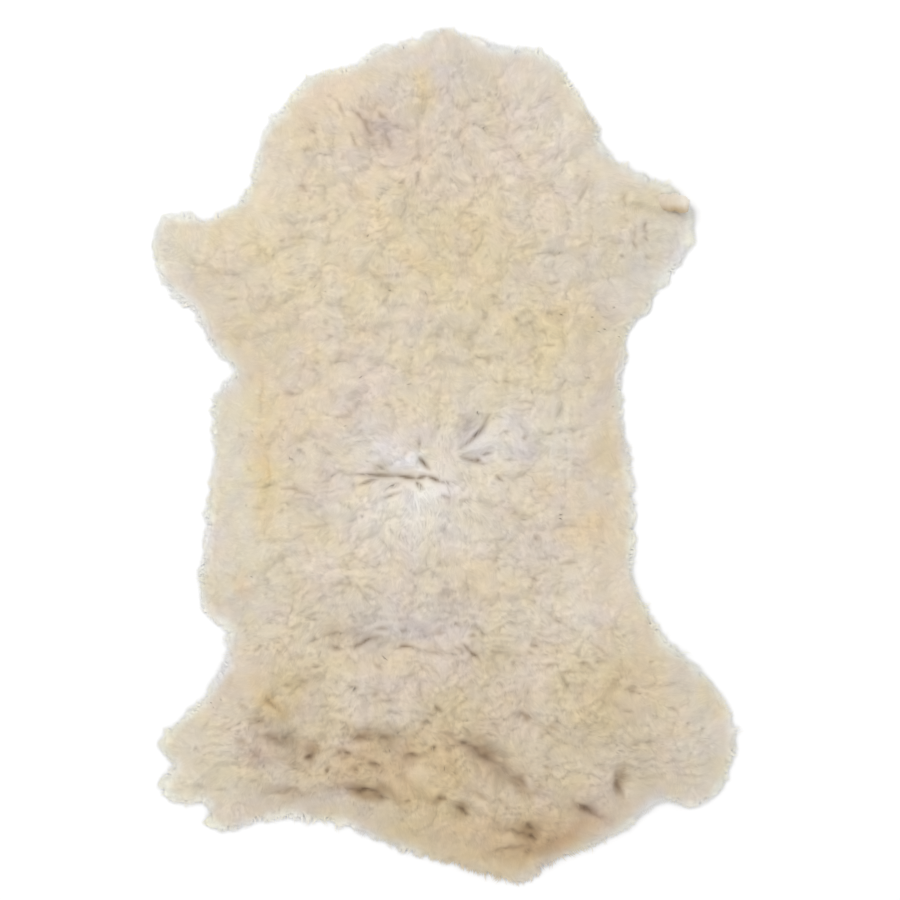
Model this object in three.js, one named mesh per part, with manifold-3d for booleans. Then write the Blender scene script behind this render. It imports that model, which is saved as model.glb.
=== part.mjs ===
// A sheepskin: one tanned pelt with its wool on, lying flat with the wool up.
// Millimetres, +Z up. The origin is the centre of its footprint, on the surface that it lies on.
// +Y runs from the tail to the neck, and +X is on the right as it is seen from above.
// The pelt and its wool grow as one piece, so this is one solid: a lumpy slab, flat underneath,
// lower on the legs and flanks, parted by furrows, with pointed locks of wool round its rim.

import * as THREE from "three";
import { mergeVertices } from "three/addons/utils/BufferGeometryUtils.js";
import Module from "manifold-3d";

// Sizes of the pelt and its wool
const SKIN_THICKNESS = 2;
const BACK_WOOL = 40; // height of the wool over the back
const RIM_WOOL = 6; // height of the wool at the slab's rim
const RIM_ROLL = 46; // how far in from the rim the wool rises to its height
const ROLL_POWER = 2.2; // how quickly it rises at first
const LEG_REACH = 120; // how far in from the rim the wool of a leg or flank changes to that of the back
const LOCK_REACH = 13; // how far the locks reach past the slab's rim

// Where the tips of the wool reach, going round clockwise from the neck.
// wool is the height of the wool on that part, and points are [x, y].
const PARTS = [
  {
    part: "neck",
    wool: 34,
    points: [[-70, 475], [-22, 492], [-5, 498], [35, 485], [70, 474], [117, 471]],
  },
  {
    part: "right shoulder",
    wool: 34,
    points: [[143, 446], [161, 414], [178, 388], [184, 356], [227, 327]],
  },
  {
    part: "right foreleg",
    wool: 22,
    points: [[262, 312], [287, 288], [295, 257], [283, 222], [256, 192], [240, 166]],
  },
  {
    part: "right flank",
    wool: 30,
    points: [[216, 143], [206, 108], [205, 68], [217, -2], [221, -78], [220, -140], [234, -190]],
  },
  {
    part: "right hind leg",
    wool: 26,
    points: [[254, -220], [291, -250], [322, -284], [341, -334], [337, -370], [318, -404], [291, -414]],
  },
  {
    part: "tail",
    wool: 32,
    points: [[253, -406], [227, -425], [181, -451], [87, -500], [41, -488], [-17, -466], [-122, -434]],
  },
  {
    part: "left hind leg",
    wool: 24,
    points: [
      [-204, -428], [-253, -442], [-280, -430], [-285, -408], [-325, -400], [-320, -372], [-334, -340],
    ],
  },
  {
    part: "left thigh",
    wool: 30,
    points: [[-297, -304], [-268, -268], [-253, -230]],
  },
  {
    part: "left flank",
    wool: 18,
    points: [[-260, -204], [-278, -188], [-287, -165], [-281, -101], [-273, -20], [-266, 76], [-243, 91]],
  },
  {
    part: "left foreleg",
    wool: 15,
    points: [
      [-227, 98], [-250, 110], [-275, 129], [-294, 167], [-323, 190], [-340, 225], [-343, 250], [-330, 279],
    ],
  },
  {
    part: "left shoulder",
    wool: 32,
    points: [
      [-285, 274], [-245, 290], [-226, 318], [-219, 353], [-204, 390], [-181, 414], [-155, 440], [-111, 453],
    ],
  },
];

// The furrows where the wool parts. Each runs length along turn degrees from +X, about its middle.
const FURROW_WIDTH = 15;
const FURROW_FADE = 0.6; // of its length: how far from its middle a furrow has faded out
const FURROWS = [
  { place: "left whorl, slit", x: -56, y: -27, length: 96, turn: -4, depth: 22 },
  { place: "left whorl, arm", x: -27, y: -12, length: 34, turn: 115, depth: 16 },
  { place: "right whorl, long arm", x: 30, y: 23, length: 70, turn: 46, depth: 20 },
  { place: "right whorl, short arm", x: 34, y: -9, length: 52, turn: -8, depth: 16 },
  { place: "neck, left", x: -78, y: 368, length: 78, turn: -52, depth: 10 },
  { place: "right shoulder", x: 163, y: 306, length: 62, turn: 64, depth: 10 },
  { place: "right foreleg", x: 236, y: 254, length: 42, turn: -75, depth: 9 },
  { place: "left side", x: -157, y: -72, length: 76, turn: -12, depth: 10 },
  { place: "loin", x: -82, y: -224, length: 140, turn: -3, depth: 14 },
  { place: "loin, right", x: 66, y: -243, length: 90, turn: -18, depth: 10 },
  { place: "left rump", x: -184, y: -332, length: 92, turn: -35, depth: 15 },
  { place: "middle rump", x: -64, y: -334, length: 112, turn: -10, depth: 14 },
  { place: "left of the tail", x: -94, y: -395, length: 74, turn: -10, depth: 16 },
  { place: "right rump", x: 62, y: -367, length: 92, turn: -48, depth: 18 },
  { place: "over the tail", x: 17, y: -416, length: 44, turn: -45, depth: 13 },
  { place: "tail, right", x: 97, y: -441, length: 44, turn: -60, depth: 12 },
  { place: "thigh, low", x: 163, y: -412, length: 54, turn: -25, depth: 13 },
  { place: "thigh, high", x: 204, y: -387, length: 50, turn: 80, depth: 13 },
];

// The tufts that make the slab lumpy
const TUFT_PITCH = 36;
const TUFT_SCATTER = 0.7; // of the pitch: how far the crowns of the tufts wander
const TUFT_SPREAD = 0.75; // of the pitch: how far a tuft reaches from its crown
const TUFT_RELIEF = 11; // from the crown of a tuft to the dip between two
const TUFT_LEVEL = 0.6; // of the relief: where the wool's mean height lies

// The locks round the rim
const LOCK_COUNT = 180;
const LOCK_ROOT = 18; // how far inside the slab's rim a lock starts
const LOCK_WIDTH = 19;
const LOCK_HEIGHT = 8;
const LOCK_SMALLEST = 0.8; // of the width, for the narrowest lock
const LOCK_LARGEST = 1.25; // of the width, for the widest
const LOCK_SHOULDER = { reach: 0.25, width: 0.8, height: 5.5 }; // where a lock starts to taper
const LOCK_SWAY = 9; // how far a lock's tip may lie to one side
const LOCK_SHORT = 6; // how far a lock's tip may fall short of the line of the tips
const LOCK_GAUGE = 14; // how far along the line, each way, a lock's own direction is taken

// The edge of the right foreleg, where the pelt has curled over into a small roll
const CURL = { from: [252, 292, 15], to: [276, 276, 12], radius: 7 };

// The lattice that carries the wool's surface
const CELL = 14.5;
const SNAP = 0.36; // of a cell: a point of the lattice this near the rim moves onto it
const RIM_STEPS = 420;
const NUDGE = 1; // step for the slope of the distance to the rim

// A number from 0 to 1 that looks random but is the same each time.
function scatter(a, b, kind) {
  const wave = Math.sin(a * 127.1 + b * 311.7 + kind * 74.7) * 43758.5453;
  return wave - Math.floor(wave);
}

function smooth(share) {
  const t = THREE.MathUtils.clamp(share, 0, 1);
  return t * t * (3 - 2 * t);
}

const tipLine = new THREE.CatmullRomCurve3(
  PARTS.flatMap(({ points }) => points.map(([x, y]) => new THREE.Vector3(x, y, 0))),
  true,
  "centripetal",
);
const tipPoints = tipLine.getSpacedPoints(RIM_STEPS).slice(0, RIM_STEPS);

// The distance from (x, y) to the line that the wool's tips reach, positive inside it.
function insideTips(x, y) {
  let nearest = Infinity;
  let inside = false;
  tipPoints.forEach((a, i) => {
    const b = tipPoints[(i + 1) % RIM_STEPS];
    const run = b.x - a.x;
    const rise = b.y - a.y;
    const share = THREE.MathUtils.clamp(
      ((x - a.x) * run + (y - a.y) * rise) / (run * run + rise * rise),
      0,
      1,
    );
    nearest = Math.min(nearest, Math.hypot(x - a.x - run * share, y - a.y - rise * share));
    if (a.y > y !== b.y > y && x < a.x + (run * (y - a.y)) / rise) inside = !inside;
  });
  return inside ? nearest : -nearest;
}

// The distance from (x, y) to the slab's rim, which lies inside that line by the locks' reach.
function insideRim(x, y) {
  return insideTips(x, y) - LOCK_REACH;
}

// The unit vector that points away from the rim, into the slab.
function inward(x, y) {
  return new THREE.Vector2(
    insideRim(x + NUDGE, y) - insideRim(x - NUDGE, y),
    insideRim(x, y + NUDGE) - insideRim(x, y - NUDGE),
  ).normalize();
}

// The wool's height on the nearest part of the rim, where nearer points weigh more.
function woolOfPart(x, y) {
  let total = 0;
  let weights = 0;
  for (const { wool, points } of PARTS) {
    for (const [px, py] of points) {
      const weight = 1 / (1 + (x - px) ** 2 + (y - py) ** 2) ** 2;
      total += weight * wool;
      weights += weight;
    }
  }
  return total / weights;
}

// 1 at the crown of a tuft and 0 between tufts: the distance to the nearest of a scattered grid of crowns.
function tuft(x, y) {
  const column = Math.floor(x / TUFT_PITCH);
  const row = Math.floor(y / TUFT_PITCH);
  let nearest = Infinity;
  for (let i = column - 1; i <= column + 1; i += 1) {
    for (let j = row - 1; j <= row + 1; j += 1) {
      const crownX = (i + 0.5 + TUFT_SCATTER * (scatter(i, j, 1) - 0.5)) * TUFT_PITCH;
      const crownY = (j + 0.5 + TUFT_SCATTER * (scatter(i, j, 2) - 0.5)) * TUFT_PITCH;
      nearest = Math.min(nearest, Math.hypot(x - crownX, y - crownY));
    }
  }
  return 1 - Math.min(1, (nearest / (TUFT_SPREAD * TUFT_PITCH)) ** 2);
}

// How deep the furrows are at (x, y): each is a soft trough that fades out towards its ends.
function furrow(x, y) {
  return FURROWS.reduce((deepest, { x: midX, y: midY, length, turn, depth }) => {
    const angle = THREE.MathUtils.degToRad(turn);
    const along = (x - midX) * Math.cos(angle) + (y - midY) * Math.sin(angle);
    const across = (y - midY) * Math.cos(angle) - (x - midX) * Math.sin(angle);
    const fade = 1 - smooth(Math.abs(along) / (FURROW_FADE * length));
    return Math.max(deepest, depth * fade * Math.exp(-((across / FURROW_WIDTH) ** 2)));
  }, 0);
}

// The height of the wool's surface, from the rim up over the back.
function surface(x, y) {
  const inside = insideRim(x, y);
  const wool = THREE.MathUtils.lerp(woolOfPart(x, y), BACK_WOOL, smooth(inside / LEG_REACH));
  const rise = 1 - (1 - THREE.MathUtils.clamp(inside / RIM_ROLL, 0, 1)) ** ROLL_POWER;
  const lumps = TUFT_RELIEF * (tuft(x, y) - TUFT_LEVEL) * (wool / BACK_WOOL);
  const body = (wool - RIM_WOOL + lumps - furrow(x, y)) * rise;
  return SKIN_THICKNESS + RIM_WOOL + body;
}

// A lattice of triangles over the slab, clipped at its rim. A point near the rim moves onto it, so no
// sliver is left. Returns the points and the triangles, which run anticlockwise from above.
function clippedLattice() {
  const rise = (CELL * Math.sqrt(3)) / 2;
  const box = new THREE.Box2().setFromPoints(tipPoints);
  const rows = Math.ceil(Math.max(-box.min.y, box.max.y) / rise) + 1;
  const columns = Math.ceil(Math.max(-box.min.x, box.max.x) / CELL) + 1;
  const corners = new Map();
  const points = [];
  const place = new Map();
  const triangles = [];

  function corner(i, j) {
    const key = `${i},${j}`;
    if (!corners.has(key)) {
      let x = (i + (j & 1) / 2) * CELL;
      let y = j * rise;
      let inside = insideRim(x, y);
      if (Math.abs(inside) < SNAP * CELL) {
        const way = inward(x, y);
        x -= way.x * inside;
        y -= way.y * inside;
        inside = 0;
      }
      corners.set(key, { key, x, y, inside });
    }
    return corners.get(key);
  }
  function index(key, x, y) {
    if (!place.has(key)) {
      place.set(key, points.length);
      points.push([x, y]);
    }
    return place.get(key);
  }
  function clip(triangle) {
    const kept = [];
    triangle.forEach((a, n) => {
      const b = triangle[(n + 1) % 3];
      if (a.inside >= 0) kept.push(index(a.key, a.x, a.y));
      if (a.inside * b.inside < 0) {
        const share = a.inside / (a.inside - b.inside);
        const key = [a.key, b.key].sort().join("|");
        kept.push(index(key, a.x + (b.x - a.x) * share, a.y + (b.y - a.y) * share));
      }
    });
    if (triangle.every(({ inside }) => inside <= 0)) return;
    for (let n = 2; n < kept.length; n += 1) triangles.push([kept[0], kept[n - 1], kept[n]]);
  }

  for (let j = -rows; j < rows; j += 1) {
    for (let i = -columns; i < columns; i += 1) {
      const shift = j & 1;
      const below = corner(i, j);
      const belowRight = corner(i + 1, j);
      const above = corner(i + shift, j + 1);
      const aboveLeft = corner(i + shift - 1, j + 1);
      clip([below, belowRight, above]);
      clip([below, above, aboveLeft]);
    }
  }
  return { points, triangles };
}

// The edges that only one triangle has, joined into one loop that runs anticlockwise.
function rimLoop(triangles) {
  const edges = triangles.flatMap(([a, b, c]) => [[a, b], [b, c], [c, a]]);
  const all = new Set(edges.map(([from, to]) => `${from}>${to}`));
  const next = new Map(edges.filter(([from, to]) => !all.has(`${to}>${from}`)));
  const loop = [next.keys().next().value];
  while (next.get(loop.at(-1)) !== loop[0]) loop.push(next.get(loop.at(-1)));
  return loop;
}

// The slab: the wool's surface on top, a low wall at the rim, and a flat underside.
function slab() {
  const { points, triangles } = clippedLattice();
  const loop = rimLoop(triangles);
  const positions = points.flatMap(([x, y]) => [x, y, surface(x, y)]);
  const faces = triangles.flat();
  const foot = points.length; // the first point of the underside
  for (const corner of loop) positions.push(points[corner][0], points[corner][1], 0);
  loop.forEach((a, n) => {
    const after = (n + 1) % loop.length;
    faces.push(a, foot + n, loop[after], loop[after], foot + n, foot + after);
  });
  const contour = loop.map((corner) => new THREE.Vector2(...points[corner]));
  for (const [a, b, c] of THREE.ShapeUtils.triangulateShape(contour, [])) {
    faces.push(foot + a, foot + c, foot + b);
  }
  return closedGeometry(positions, faces);
}

function closedGeometry(positions, faces) {
  const geometry = new THREE.BufferGeometry();
  geometry.setAttribute("position", new THREE.Float32BufferAttribute(positions, 3));
  geometry.setIndex(faces);
  return geometry;
}

// A lock that lies on the floor: a bent three-sided spike, flat underneath, wide at its root.
function lock(n) {
  const spot = (n + 0.1 + 0.8 * scatter(n, 0, 3)) / LOCK_COUNT;
  const onLine = tipLine.getPointAt(spot);
  const gauge = LOCK_GAUGE / tipLine.getLength();
  const side = tipLine
    .getPointAt((spot - gauge + 1) % 1)
    .sub(tipLine.getPointAt((spot + gauge) % 1))
    .normalize();
  const into = { x: -side.y, y: side.x };
  const rootWidth = LOCK_WIDTH * THREE.MathUtils.lerp(LOCK_SMALLEST, LOCK_LARGEST, scatter(n, 1, 4));
  const sway = LOCK_SWAY * (2 * scatter(n, 2, 5) - 1);
  const short = LOCK_SHORT * scatter(n, 3, 6);
  const { reach, width: narrowing, height: shoulder } = LOCK_SHOULDER;
  const stations = [
    { depth: LOCK_REACH + LOCK_ROOT, aside: 0, width: rootWidth, height: LOCK_HEIGHT },
    { depth: LOCK_REACH * (1 - reach), aside: sway * reach, width: rootWidth * narrowing, height: shoulder },
  ];
  const positions = stations.flatMap(({ depth, aside, width, height }) => {
    const x = onLine.x + into.x * depth + side.x * aside;
    const y = onLine.y + into.y * depth + side.y * aside;
    const half = width / 2;
    const left = [x + side.x * half, y + side.y * half, 0];
    const right = [x - side.x * half, y - side.y * half, 0];
    return [...left, ...right, x, y, height];
  });
  const tipX = onLine.x + into.x * short + side.x * sway;
  const tipY = onLine.y + into.y * short + side.y * sway;
  positions.push(tipX, tipY, 0);
  const root = [0, 1, 2];
  const sides = [0, 3, 4, 0, 4, 1, 1, 4, 5, 1, 5, 2, 2, 5, 3, 2, 3, 0];
  const tip = [3, 6, 4, 4, 6, 5, 5, 6, 3];
  return closedGeometry(positions, [...root, ...sides, ...tip]);
}

// The curled edge of the right foreleg: a capsule that lies along the edge.
function curl() {
  const from = new THREE.Vector3(...CURL.from);
  const to = new THREE.Vector3(...CURL.to);
  const along = to.clone().sub(from);
  const geometry = new THREE.CapsuleGeometry(CURL.radius, along.length(), 3, 10);
  const turn = new THREE.Quaternion().setFromUnitVectors(
    new THREE.Vector3(0, 1, 0),
    along.clone().normalize(),
  );
  geometry.applyQuaternion(turn);
  geometry.translate(...from.add(to).multiplyScalar(0.5).toArray());
  return geometry;
}

const wasm = await Module();
wasm.setup();

function solidOf(geometry) {
  const plain = geometry.clone();
  plain.deleteAttribute("normal");
  plain.deleteAttribute("uv");
  const merged = mergeVertices(plain, 1e-3);
  const mesh = new wasm.Mesh({
    numProp: 3,
    vertProperties: merged.attributes.position.array,
    triVerts: new Uint32Array(merged.index.array),
  });
  return new wasm.Manifold(mesh);
}

function geometryOf(solid) {
  const { vertProperties, triVerts } = solid.getMesh();
  const geometry = new THREE.BufferGeometry();
  geometry.setAttribute("position", new THREE.BufferAttribute(vertProperties, 3));
  geometry.setIndex(new THREE.BufferAttribute(triVerts, 1));
  geometry.computeVertexNormals();
  return geometry;
}

const locks = Array.from({ length: LOCK_COUNT }, (_, n) => solidOf(lock(n)));
const fleece = [...locks, solidOf(curl())].reduce((whole, piece) => whole.add(piece), solidOf(slab()));

const wool = new THREE.MeshStandardMaterial({ color: 0xe6dcc6, roughness: 0.95, metalness: 0 });
const sheepskin = new THREE.Mesh(geometryOf(fleece), wool);
sheepskin.name = "sheepskin";

const part = new THREE.Group();
part.add(sheepskin);

export default part;
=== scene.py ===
"""A whole tanned sheepskin that lies flat with its wool up, seen from straight above.

The pelt comes first, then the dense wool that grows out of it, the locks of wool that show, the
wisps round the rim and the curled edge of one foreleg, and last the floor, the light and the camera.
Lengths are in millimetres until a mesh is made: +X is right, +Y runs from the tail to the neck.
"""

import math

import bpy
import numpy as np
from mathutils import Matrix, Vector
from mathutils.geometry import tessellate_polygon


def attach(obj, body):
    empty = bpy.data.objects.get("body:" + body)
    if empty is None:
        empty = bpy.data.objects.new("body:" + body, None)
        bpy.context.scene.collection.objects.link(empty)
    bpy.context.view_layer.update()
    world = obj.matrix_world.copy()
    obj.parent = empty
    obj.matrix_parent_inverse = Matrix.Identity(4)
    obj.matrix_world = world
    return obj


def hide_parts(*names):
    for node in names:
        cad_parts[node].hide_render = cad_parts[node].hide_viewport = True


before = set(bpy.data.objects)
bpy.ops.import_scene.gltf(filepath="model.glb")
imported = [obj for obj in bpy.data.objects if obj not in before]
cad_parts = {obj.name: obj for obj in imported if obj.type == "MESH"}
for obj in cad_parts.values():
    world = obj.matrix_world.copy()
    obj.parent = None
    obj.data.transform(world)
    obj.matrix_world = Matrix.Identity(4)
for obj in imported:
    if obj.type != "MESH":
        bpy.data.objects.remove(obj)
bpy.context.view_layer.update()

# The pelt is the tanned hide of one sheep, soft leather about 2 mm thick.
# It is cut to nothing but the animal's own outline: neck, four legs, flanks and tail.
# Its flesh side is suede and lies on the floor; its grain side is under the wool.

MM = 0.001
PIXEL = 1.165  # millimetres on the floor for each pixel of the photograph
MIDDLE_PIXEL = (445, 453)  # where the middle of the footprint lies in it
PELT_THICKNESS = 2
TIP_REACH = 13  # how far the wool's tips reach past the edge of the pelt
PELT_CELL = 9  # pitch of the lattice that carries the pelt

# The line that the wool's tips reach, clockwise from the neck, and the wool's height on each part
PARTS = [
    ("neck", 34, [(-70, 475), (-24, 487), (-5, 499), (35, 484), (70, 474), (112, 469)]),
    ("right shoulder", 34, [(139, 443), (158, 413), (178, 388), (184, 356), (227, 328)]),
    ("right foreleg", 22, [(262, 311), (284, 287), (292, 257), (277, 225), (250, 196), (238, 166)]),
    ("right flank", 30, [(216, 143), (212, 109), (206, 68), (215, -2), (221, -78), (221, -140),
                         (238, -188)]),
    ("right hind leg", 26, [(258, -217), (292, -249), (322, -284), (341, -334), (335, -368),
                            (315, -404), (291, -415)]),
    ("tail", 32, [(253, -408), (228, -426), (207, -443), (183, -455), (136, -474), (87, -500),
                  (38, -490), (-19, -472), (-72, -455), (-122, -434)]),
    ("left hind leg", 24, [(-204, -428), (-253, -442), (-279, -432), (-278, -409), (-305, -410),
                           (-324, -401), (-333, -387), (-317, -369), (-335, -340)]),
    ("left thigh", 30, [(-297, -304), (-268, -268), (-253, -230)]),
    ("left flank", 18, [(-256, -205), (-278, -188), (-287, -165), (-281, -101), (-273, -20),
                        (-267, 70), (-253, 84)]),
    ("left foreleg", 15, [(-244, 95), (-254, 107), (-275, 127), (-294, 167), (-323, 190),
                          (-340, 225), (-343, 250), (-330, 279)]),
    ("left shoulder", 32, [(-285, 274), (-245, 290), (-226, 318), (-219, 353), (-202, 388),
                           (-181, 414), (-155, 440), (-111, 453)]),
]
PART_POINTS = np.array([p for _, _, points in PARTS for p in points], float)
PART_WOOL = np.array([wool for _, wool, points in PARTS for _ in points], float)
LINE_STEPS = 420  # straight steps that the line of the tips is measured in


def scatter(a, b, kind):
    """A number from 0 to 1 that looks random: the fraction left of a very steep sine wave."""
    wave = np.sin(a * 127.1 + b * 311.7 + kind * 74.7) * 43758.5453
    return wave - np.floor(wave)


def smooth(share):
    """0 below 0, 1 above 1 and an even S between them."""
    t = np.clip(share, 0, 1)
    return t * t * (3 - 2 * t)


def closed_line(corners, steps):
    """A smooth loop through the corners: each stretch is a cubic whose slopes at its two ends
    come from the neighbouring corners, weighed by the root of their distances. Then evenly spaced."""
    before, start, end, after = (np.roll(corners, shift, axis=0) for shift in (1, 0, -1, -2))
    gaps = [
        np.sqrt(np.linalg.norm(b - a, axis=1))[:, None]
        for a, b in ((before, start), (start, end), (end, after))
    ]
    slope_in = (start - before) / gaps[0] - (end - before) / (gaps[0] + gaps[1])
    slope_in = (slope_in + (end - start) / gaps[1]) * gaps[1]
    slope_out = (end - start) / gaps[1] - (after - start) / (gaps[1] + gaps[2])
    slope_out = (slope_out + (after - end) / gaps[2]) * gaps[1]
    t = np.linspace(0, 1, 40, endpoint=False)[None, :, None]
    fine = (
        start[:, None] * (2 * t**3 - 3 * t**2 + 1)
        + slope_in[:, None] * (t**3 - 2 * t**2 + t)
        + end[:, None] * (3 * t**2 - 2 * t**3)
        + slope_out[:, None] * (t**3 - t**2)
    ).reshape(-1, 2)
    loop = np.vstack([fine, fine[:1]])
    run = np.concatenate([[0], np.cumsum(np.linalg.norm(np.diff(loop, axis=0), axis=1))])
    places = np.linspace(0, run[-1], steps, endpoint=False)
    return np.stack([np.interp(places, run, loop[:, axis]) for axis in (0, 1)], axis=1)


def distance_inside(points, line):
    """How far each point lies inside the loop, less than 0 outside: the least distance to any
    step of the loop, signed by how often a ray along +X crosses it."""
    found = np.empty(len(points))
    start, step = line, np.roll(line, -1, axis=0) - line
    with np.errstate(divide="ignore", invalid="ignore"):
        slant = step[:, 0] / step[:, 1]
    for low in range(0, len(points), 4000):
        x, y = points[low:low + 4000, :1], points[low:low + 4000, 1:]
        dx, dy = x - start[:, 0], y - start[:, 1]
        share = np.clip((dx * step[:, 0] + dy * step[:, 1]) / (step**2).sum(1), 0, 1)
        nearest = np.hypot(dx - step[:, 0] * share, dy - step[:, 1] * share).min(1)
        spans = (dy < 0) != (dy - step[:, 1] < 0)
        crossings = (spans & (dx < slant * dy)).sum(1)
        found[low:low + 4000] = np.where(crossings % 2 == 1, nearest, -nearest)
    return found


tip_line = closed_line(PART_POINTS, LINE_STEPS)

# Fields over the footprint: values on a square grid, which are looked up between its points
FIELD_FROM = np.array([-380.0, -540.0])
FIELD_SPAN = np.array([760.0, 1080.0])


def field_grid(step):
    """The x and y of the points of a square grid of that step over the footprint."""
    axes = [FIELD_FROM[i] + step * np.arange(int(FIELD_SPAN[i] / step) + 1) for i in (0, 1)]
    return np.meshgrid(*axes, indexing="ij")


def look_up(field, x, y):
    """The field between its grid points: the mean of the four round (x, y), weighed by nearness."""
    step = FIELD_SPAN[0] / (field.shape[0] - 1)
    i = np.clip((x - FIELD_FROM[0]) / step, 0, field.shape[0] - 1.001)
    j = np.clip((y - FIELD_FROM[1]) / step, 0, field.shape[1] - 1.001)
    i0, j0 = i.astype(int), j.astype(int)
    fi, fj = i - i0, j - j0
    low = field[i0, j0] * (1 - fj) + field[i0, j0 + 1] * fj
    high = field[i0 + 1, j0] * (1 - fj) + field[i0 + 1, j0 + 1] * fj
    return low * (1 - fi) + high * fi


# The distance inside the line of the tips, and the wool's height at the rim of each part
coarse_x, coarse_y = field_grid(2.5)
coarse_xy = np.stack([coarse_x.ravel(), coarse_y.ravel()], axis=1)
inside_field = distance_inside(coarse_xy, tip_line).reshape(coarse_x.shape)
nearness = 1 / (1 + ((coarse_xy[:, None] - PART_POINTS) ** 2).sum(2)) ** 2
wool_field = (nearness @ PART_WOOL / nearness.sum(1)).reshape(coarse_x.shape)


def inside_tips(x, y):
    return look_up(inside_field, x, y)


def outward(x, y):
    """The unit vector away from the middle of the skin: the downhill slope of the distance inside."""
    reach = 4.0
    gx = inside_tips(x - reach, y) - inside_tips(x + reach, y)
    gy = inside_tips(x, y - reach) - inside_tips(x, y + reach)
    size = np.hypot(gx, gy) + 1e-9
    return gx / size, gy / size


def clouds(x, y, size, kind):
    """Soft random patches from 0 to 1: random corners of a square grid, smoothed between them."""
    i, j = np.floor(x / size), np.floor(y / size)
    fi, fj = smooth(x / size - i), smooth(y / size - j)
    low = scatter(i, j, kind) * (1 - fj) + scatter(i, j + 1, kind) * fj
    high = scatter(i + 1, j, kind) * (1 - fj) + scatter(i + 1, j + 1, kind) * fj
    return low * (1 - fi) + high * fi


# Where the rim runs out into pointed tufts: x and y of each tip
TUFT_TIPS = np.array([
    (-336, -340), (-336, -388), (-324, -404), (-278, -435), (-260, -445), (-341, 245), (-329, 276),
    (-281, -170), (-266, -201), (-283, -106), (-271, -20), (-214, 371), (8, 496), (88, -500), (286, -415),
    (335, -329), (240, 167), (262, 192), (206, 106), (223, -78), (182, -451), (-122, -436),
], float)


def near_tips(x, y, reach):
    """1 at the nearest of the pointed tufts' tips, less away from it, and its x and y."""
    away = np.hypot(x[..., None] - TUFT_TIPS[:, 0], y[..., None] - TUFT_TIPS[:, 1])
    nearest = away.argmin(-1)
    return np.exp(-((away.min(-1) / reach) ** 2)), TUFT_TIPS[nearest]


def lobes(x, y, most):
    """How far the edge comes in at (x, y): from minus half to half of most, in uneven lobes, and
    less at the pointed tufts."""
    uneven = 0.5 * clouds(x, y, 17, 71) + 0.5 * clouds(x, y, 7, 72) - 0.5
    return most * (uneven - 0.4 * near_tips(x, y, 7)[0])


def lattice(cell, inset, lobe):
    """Points and triangles of an even triangular lattice inside the tips' line by the inset, which
    the lobes vary. Triangles are kept by their middles, those with two free edges go, and the
    points on the free edges move onto the line. Also the loop of those edges, anticlockwise."""
    rise = cell * math.sqrt(3) / 2
    rows, columns = int(520 / rise), int(370 / cell)
    j, i = np.meshgrid(np.arange(-rows, rows + 1), np.arange(-columns, columns + 1), indexing="ij")
    points = np.stack([(i + (j % 2) / 2) * cell, j * rise], axis=-1).reshape(-1, 2)
    wide = 2 * columns + 1
    at = np.arange(len(points)).reshape(2 * rows + 1, wide)
    below, right = at[:-1, 1:-1], at[:-1, 2:]
    odd = (j[:-1, 1:-1] % 2).astype(bool)
    above = np.where(odd, at[1:, 2:], at[1:, 1:-1])
    above_left = np.where(odd, at[1:, 1:-1], at[1:, :-2])
    triangles = np.concatenate([
        np.stack([below, right, above], -1).reshape(-1, 3),
        np.stack([below, above, above_left], -1).reshape(-1, 3),
    ])
    middles = points[triangles].mean(1)
    triangles = triangles[inside_tips(*middles.T) > inset + lobes(*middles.T, lobe)]
    for _ in range(4):
        keys, uses = edge_uses(triangles, len(points))
        triangles = triangles[(uses[keys] == 1).sum(1) < 2]
    keys, uses = edge_uses(triangles, len(points))
    free = uses[keys] == 1
    starts = triangles[free]
    ends = np.roll(triangles, -1, axis=1)[free]
    for _ in range(2):
        x, y = points[starts].T
        off = inside_tips(x, y) - inset - lobes(x, y, lobe)
        ox, oy = outward(x, y)
        points[starts] = np.stack([x + ox * off, y + oy * off], axis=1)
    used, triangles = np.unique(triangles, return_inverse=True)
    follows = dict(zip(np.searchsorted(used, starts), np.searchsorted(used, ends)))
    loop = [next(iter(follows))]
    while follows[loop[-1]] != loop[0]:
        loop.append(follows[loop[-1]])
    return points[used], triangles.reshape(-1, 3), np.array(loop)


def edge_uses(triangles, count):
    """For each corner of each triangle, the number of the edge that starts there, and how many
    triangles each edge has."""
    ends = np.roll(triangles, -1, axis=1)
    key = np.minimum(triangles, ends) * count + np.maximum(triangles, ends)
    _, numbers, uses = np.unique(key, return_inverse=True, return_counts=True)
    return numbers.reshape(triangles.shape), uses


def mesh_piece(name, points, triangles, corner_uv, material):
    """A mesh object from points in millimetres, its triangles and their corners' places on the map,
    or None for a piece without a map."""
    mesh = bpy.data.meshes.new(name)
    mesh.vertices.add(len(points))
    mesh.vertices.foreach_set("co", (points * MM).astype(np.float32).ravel())
    mesh.loops.add(triangles.size)
    mesh.loops.foreach_set("vertex_index", triangles.astype(np.int32).ravel())
    mesh.polygons.add(len(triangles))
    mesh.polygons.foreach_set("loop_start", np.arange(0, triangles.size, 3, dtype=np.int32))
    mesh.update(calc_edges=True)
    mesh.polygons.foreach_set("use_smooth", np.ones(len(triangles), bool))
    if corner_uv is not None:
        uv = mesh.uv_layers.new(name="OFBake")
        uv.data.foreach_set("uv", corner_uv.astype(np.float32).ravel())
    mesh.materials.append(material)
    piece = bpy.data.objects.new(name, mesh)
    bpy.context.scene.collection.objects.link(piece)
    return piece


def colour_points(piece, colours):
    """Puts one linear colour on each point of the piece, as the attribute that is called tone."""
    held = piece.data.color_attributes.new("tone", "FLOAT_COLOR", "POINT")
    held.data.foreach_set("color", np.column_stack([colours, np.ones(len(colours))]).ravel())


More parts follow.
